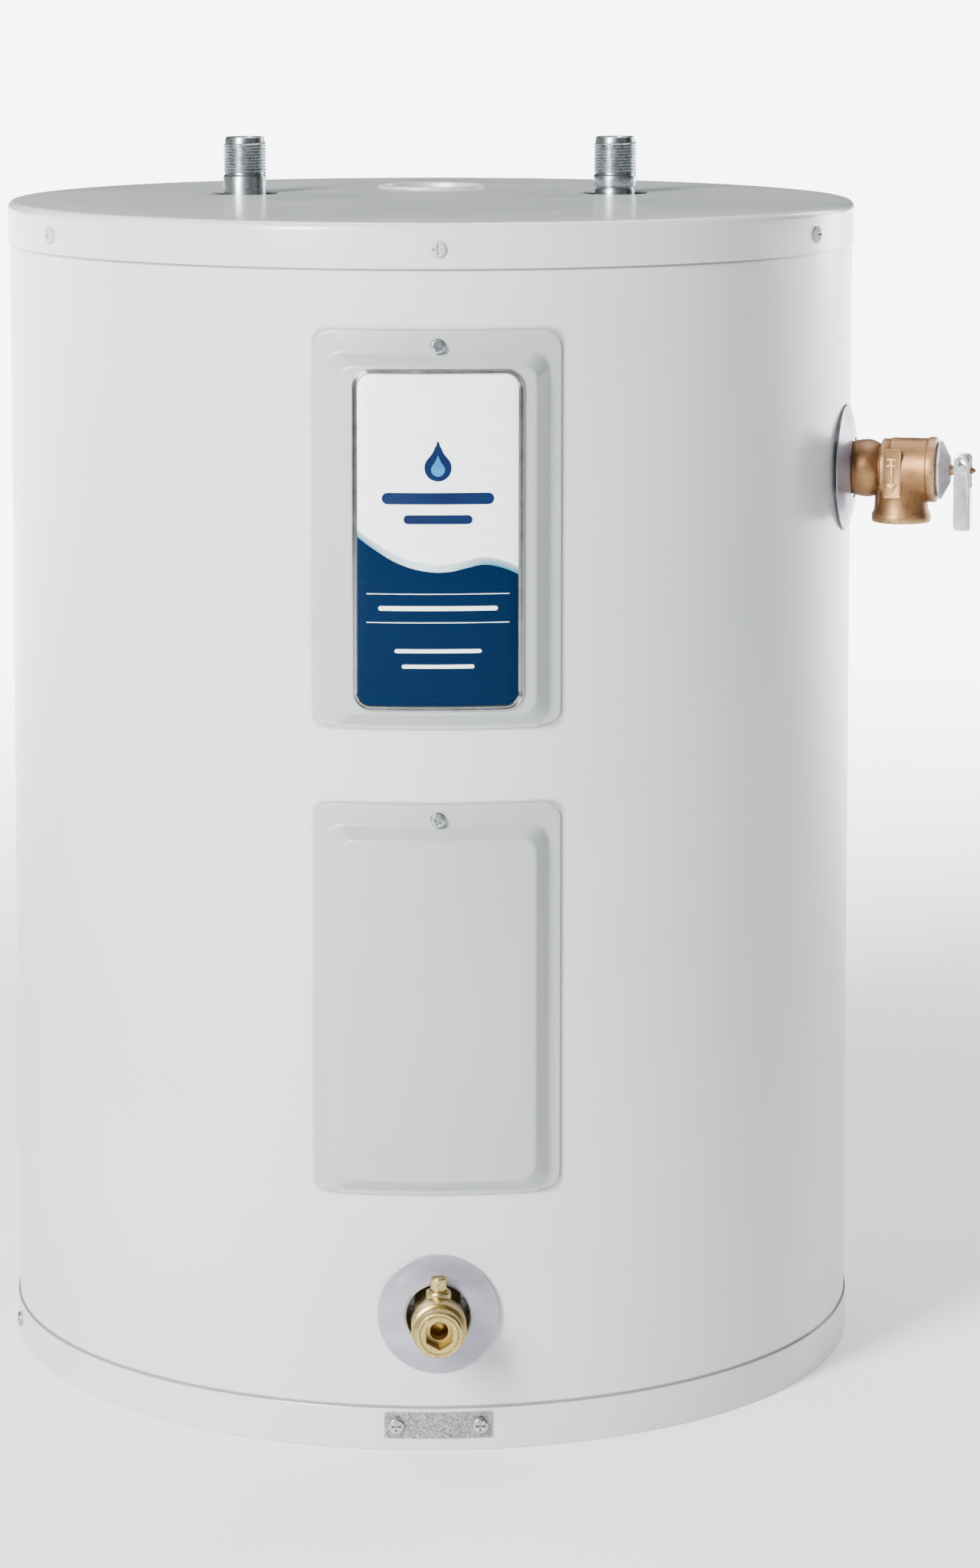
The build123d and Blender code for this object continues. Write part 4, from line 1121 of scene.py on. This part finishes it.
def buildWiringCup():
    look = cupLook
    r, top, floor, flange, hole = [look[key] for key in ("radius", "top", "floor", "flange", "knockout")]
    outline = [(hole, floor), (r, floor), (r, top), (flange, top), (flange, top + 0.5)]
    outline += [(flange - 0.8, top + 1.4), (r + 1.2, top + 1.6), (r - 0.2, top + 1.2), (r - 1.0, top - 0.4)]
    outline += arc((r - 3.6, floor + 3.8), 2.6, 0, -90, 5)
    outline += [(16.0, floor + 1.2), (15.2, floor + 0.7), (hole + 0.6, floor + 1.1), (hole, floor + 0.8)]
    cup = place(spinProfile(outline, 96), (lidLook["cupX"], lidLook["cupY"], 0))
    finishPiece(cup, "wiringCup", "root", "cupZinc", ["wiring_cup"], 30)


buildHoleSeals()
buildWiringCup()
print("pipes and wiring cup built")


# relief valve on the side

# rosettes as (radius, hole, rise, hub), seated on the jacket
rosetteLook = {"relief": (37.6, 17.4, 5.4, 19.5), "drain": (34.2, 18.0, 5.0, 20.5), "seat": 254.3,
               "rim": 0.95}


def buildRosette(which):
    # a thin shallow cone with a rolled rim
    radius, hole, rise, hub = rosetteLook[which]
    seat, rim = rosetteLook["seat"], rosetteLook["rim"]
    top = seat + rise
    outline = [(hole, top - 1.4), (hub, top - 1.5), (radius - 2.2, seat + 0.1), (radius - 0.3, seat)]
    outline += [(radius, seat + 0.3), (radius - 0.2, seat + 0.75), (radius - 1.4, seat + rim)]
    outline += [(radius * 0.6 + hub * 0.4, seat + rim + (rise - rim) * 0.42), (hub, top - 0.1)]
    outline += [(hub - 1.4, top), (hole, top - 0.5)]
    rosette = spinProfile(outline, 96)
    roundEdges(rosette, 0.2, 2, 40)
    return rosette


# outlines drawn about the valve's own axes; the leg hangs from the barrel
reliefLook = {
    "barrel": [(8.2, 198), (13.3, 198), (13.3, 226), (14.6, 230), (14.9, 254), (15.4, 257.6), (16.4, 261.4),
               (17.05, 265.0), (17.2, 267.6), (16.9, 270.2), (16.1, 272.6), (14.9, 274.6), (14.35, 275.4),
               (14.6, 276.2), (17.3, 276.6), (17.9, 277.4), (17.9, 281.2), (18.1, 281.9), (18.6, 282.6),
               (18.6, 303.0), (18.7, 303.6), (19.3, 304.4), (19.45, 305.4), (19.45, 307.6), (19.1, 308.8),
               (18.2, 309.4), (15.6, 309.4), (15.0, 308.8), (15.0, 284.0), (7.0, 284.0), (7.0, 281),
               (8.2, 281)],
    "leg": [(0, 520), (0, 533), (15.9, 533), (15.8, 517), (16.1, 511.5), (16.9, 509.4), (17.45, 508.2),
            (17.6, 506.8), (17.6, 504.7), (17.0, 503.7), (13.4, 503.5), (12.7, 504.2), (12.7, 520)],
    "legAt": 287.7, "padAt": (284.5, -17.0, 534.0), "pad": (10.5, 29.0, 1.5, 2.3), "padRim": (1.1, 0.6),
    "shaft": (1.5, 0.9, 14), "bar": (6.0, 0.9, 1.3), "barHeights": (8.2, 4.4), "arrow": (3.4, -0.45, 0.45, 3),
    "bonnet": [(3.3, 300), (14.9, 300), (14.9, 310.2), (17.0, 310.6), (17.3, 311.0), (17.2, 311.7),
               (14.6, 313.0), (11.4, 314.7), (9.0, 316.1), (8.3, 316.5), (3.3, 316.5)],
}


def swingToRelief(piece, at):
    # moves a piece drawn on the +X side out to the valve's own direction
    place(piece, at)
    return place(piece, (0, 0, 0), (0, 0, reliefAngle))


def buildReliefBody():
    barrel = layOnRelief(spinProfile(reliefLook["barrel"], 80))
    weldOn(barrel, swingToRelief(spinProfile(reliefLook["leg"], 72), (reliefLook["legAt"], 0, 0)))
    return barrel


def buildReliefPad():
    # the raised pad on the front of the valve, with an arrow that points down
    pad = addSlab(*reliefLook["pad"], 0, 4)
    sinkFront(pad, *reliefLook["padRim"])
    roundEdges(pad, 0.25, 2)
    shaft = addBlock(reliefLook["shaft"], (0, -2.0, 1.0), 0.2)
    bars = [addBlock(reliefLook["bar"], (0, -2.0, z), 0.2) for z in reliefLook["barHeights"]]
    head = place(addRod(*reliefLook["arrow"]), (0, -2.0, -7.8), (90, 60, 0))
    roundEdges(head, 0.15, 2)
    return swingToRelief(joinPieces([pad, shaft, head] + bars, "reliefPad"), reliefLook["padAt"])


leverLook = {"pin": 324.1, "half": 4.85, "top": 9.7, "low": -35.5, "gauge": 1.2, "reach": 5.4, "hole": 1.9,
             "webTop": -10.0, "rib": (0.8, 4.2, 15.0)}


def buildLeverSide(look, y):
    # one cheek: a long plate with a round ear at its top
    half, tall, gauge = look["half"], look["top"] - look["low"], look["gauge"]
    cheek = addSlab(2 * half, tall, 2.4, gauge, (look["top"] + look["low"]) / 2, 5)
    weldOn(cheek, layForward(addRod(half, -0.05, gauge + 0.05, 48), look["top"] - half))
    cutAway(cheek, layForward(addRod(look["hole"], -2, 4, 32), look["top"] - half))
    roundEdges(cheek, 0.25, 2, 40)
    return place(cheek, (0, y, 0))


def buildLever():
    look = leverLook
    half, gauge, reach, low, webTop = [look[key] for key in ("half", "gauge", "reach", "low", "webTop")]
    cheeks = [buildLeverSide(look, gauge - reach), buildLeverSide(look, reach)]
    web = addBlock((gauge, 2 * reach, webTop - low), (half - gauge / 2, 0, (low + webTop) / 2), 0.35, 3)
    rib = addBlock(look["rib"], (half - 1.3, 0, low + 12.5), 0.3)
    return swingToRelief(joinPieces(cheeks + [web, rib], "reliefLever"), (look["pin"], 0, reliefHeight))


finishPiece(layOnRelief(buildRosette("relief")), "reliefRosette", "root",
            "paleRosette", ["relief_escutcheon"], 40)
reliefBody = joinPieces([buildReliefBody(), buildReliefPad()], "reliefValveBody")
finishPiece(reliefBody, "reliefValveBody", "root", "bronzeCast", ["relief_body"], 35)
finishPiece(layOnRelief(spinProfile(reliefLook["bonnet"], 64)), "reliefBonnet", "root",
            "speckledEnamel", ["relief_bonnet"], 35)
finishPiece(buildLever(), "reliefLever", "relief_lever", "zincPlate", ["relief_lever"], 35)
print("relief valve built")


# drain valve at the bottom of the front

drainLook = {
    "collar": [(5.2, 258), (12.9, 258), (12.9, 271.4), (15.0, 271.6), (15.4, 272.4), (15.4, 284.2),
               (15.0, 285.0), (13.6, 285.8), (13.45, 286.4), (13.45, 292.4), (13.0, 293.4), (12.2, 294.0),
               (11.0, 294.0), (10.8, 293.6), (10.5, 293.6), (10.3, 294.0), (8.5, 294.0), (8.4, 286),
               (5.2, 286)],
    "neck": [(4.86, 6.0), (7.05, 6.0), (7.05, 16.4), (6.7, 17.4), (6.0, 18.0), (5.3, 18.0), (4.86, 17.5)],
    "ball": [(0, -7.95), (2.1, -7.7), (4.2, -6.8), (6.0, -5.3), (7.3, -3.3), (7.95, -1.1), (7.95, 1.1),
             (7.3, 3.3), (6.0, 5.3), (4.4, 6.7), (4.4, 9.0), (4.55, 9.2), (4.55, 24.4), (4.0, 25.2),
             (0, 25.3)],
    "stemAt": 268.0, "pipe": 13.2, "bore": 5.2, "ballSpace": 7.4, "ballBore": 5.0,
    "nutAcross": 26.0, "socketAcross": 14.5, "slot": (12, 1.4, 5),
}


def buildDrainBody():
    look = drainLook
    nut = addRod(look["nutAcross"] / math.sqrt(3), 257.1, 272.9, 6, 0.8)
    weldOn(nut, addRod(look["pipe"], 200, 262))
    cutAway(nut, addRod(look["bore"], 190, 300, 48), addRod(look["ballSpace"], 259.4, 276.6, 48))
    filler = addRod(9.2, 284.6, 293.95, 48)
    socket = addRod(look["socketAcross"] / math.sqrt(3), 284.5, 302.5, 6)
    cutAway(filler, socket, addRod(look["bore"], 280, 300, 48))
    body = joinPieces([nut, spinProfile(look["collar"], 80), filler], "drainValve")
    layForward(body, drainHeight)
    neck = place(spinProfile(look["neck"], 56), (0, -look["stemAt"], drainHeight))
    return joinPieces([body, neck], "drainValve")


def buildDrainStem():
    look = drainLook
    ball = spinProfile(look["ball"], 48)
    passage = place(addRod(look["ballBore"], -12, 12, 48), (0, 0, 0), (0, 90, 0))
    cutAway(ball, passage, addBlock(look["slot"], (0, 0, 25.8)))
    return place(ball, (0, -look["stemAt"], drainHeight))


finishPiece(layForward(buildRosette("drain"), drainHeight), "drainRosette", "root",
            "paleRosette", ["drain_escutcheon"], 40)
finishPiece(buildDrainBody(), "drainValve", "root", "brassTurned", ["drain_body"])
finishPiece(buildDrainStem(), "drainBallStem", "drain_ball_and_stem", "brassTurned",
            ["drain_ball_and_stem"])
print("drain valve built")


# floor, light and camera

stageLook = {
    "floorColor": (0.90, 0.91, 0.92), "frontGlow": 0.36, "backGlow": 8.0, "glowFrom": 0.5, "glowTo": 3.2,
    "airToward": (-0.62, -0.55, 0.56), "airDim": (0.045, 0.05, 0.055), "airBright": (1.0, 1.0, 0.99),
    "airFrom": -0.55, "airTo": 0.85, "airStrength": 0.34,
    "paperShade": 0.995, "paperRough": 0.9, "paperGloss": 0.1, "floorSide": 400,
    "lights": [
        # name, where, aimed at, size, watts, colour
        ("keyLight", (-1.9, -2.6, 1.9), (0, 0, 0.4), (0.8, 1.9), 350, (1.0, 0.99, 0.97)),
        ("fillLight", (2.6, -1.6, 1.3), (0, 0, 0.4), (1.2, 1.6), 2, (0.95, 0.98, 1.0)),
        ("topLight", (0.2, 0.8, 3.0), (0, 0, 0.5), (2.0, 2.0), 62, (1.0, 1.0, 1.0)),
        ("rimLight", (2.2, 1.9, 1.3), (0, 0, 0.4), (0.8, 1.8), 55, (0.97, 0.99, 1.0)),
    ],
    "camera": {"at": (-0.0355, -2.66, 0.83509), "tilt": -5.607, "swing": 1.2022, "lens": 100.95,
               "shiftX": 0.0160, "shiftY": -0.25},
}


def buildFloor():
    look = stageLook
    deselectAll()
    bpy.ops.mesh.primitive_plane_add(size=1, location=(0, 0, 0))
    floor = bpy.context.object
    floor.scale = (look["floorSide"], look["floorSide"], 1)
    applyMove(floor)
    floor.name = "studioFloor"
    material, tree, shader = startMaterial("floorPaper")
    coords = objectCoords(tree)
    color = look["floorColor"]
    tint = mixColor(tree, noiseNode(tree, coords, 2.0, 2.0), rgb(*color),
                    rgb(*[c * look["paperShade"] for c in color]))
    tree.links.new(tint, shader.inputs["Base Color"])
    shader.inputs["Roughness"].default_value = look["paperRough"]
    shader.inputs["Specular IOR Level"].default_value = look["paperGloss"]
    shader.inputs["Emission Color"].default_value = rgb(*color)
    # the paper glows behind the heater, like a lit backdrop
    behind = rampNode(tree, splitCoords(tree)["Y"], look["glowFrom"], look["glowTo"])
    glow = mathNode(tree, "MULTIPLY_ADD", behind, look["backGlow"] - look["frontGlow"], look["frontGlow"])
    tree.links.new(glow, shader.inputs["Emission Strength"])
    paint(floor, material)


def buildLights():
    for name, where, aim, size, watts, color in stageLook["lights"]:
        data = bpy.data.lights.new(name, "AREA")
        data.shape = "RECTANGLE"
        data.size, data.size_y = size
        data.energy = watts
        data.color = color
        light = bpy.data.objects.new(name, data)
        bpy.context.scene.collection.objects.link(light)
        light.location = where
        light.rotation_euler = (Vector(aim) - Vector(where)).to_track_quat("-Z", "Y").to_euler()


def buildAir():
    # bright on the key side and overhead, and dim to the right
    look = stageLook
    world = bpy.data.worlds.new("studioAir")
    world.use_nodes = True
    tree = world.node_tree
    sky = tree.nodes["Background"]
    facing = addNode(tree, "ShaderNodeVectorMath", operation="DOT_PRODUCT")
    tree.links.new(addNode(tree, "ShaderNodeTexCoord").outputs["Generated"], facing.inputs[0])
    facing.inputs[1].default_value = Vector(look["airToward"]).normalized()
    glow = rampNode(tree, facing.outputs["Value"], look["airFrom"], look["airTo"])
    tree.links.new(mixColor(tree, glow, rgb(*look["airDim"]), rgb(*look["airBright"])), sky.inputs["Color"])
    sky.inputs["Strength"].default_value = look["airStrength"]
    bpy.context.scene.world = world


def buildCamera():
    look = stageLook["camera"]
    data = bpy.data.cameras.new("studioCamera")
    data.sensor_width = 36
    data.lens = look["lens"]
    data.shift_x = look["shiftX"]
    data.shift_y = look["shiftY"]
    data.clip_start, data.clip_end = 0.05, 1000
    camera = bpy.data.objects.new("studioCamera", data)
    bpy.context.scene.collection.objects.link(camera)
    camera.location = look["at"]
    camera.rotation_euler = (math.radians(90 + look["tilt"]), 0, math.radians(-look["swing"]))
    bpy.context.scene.camera = camera


buildFloor()
buildLights()
buildAir()
buildCamera()
deselectAll()
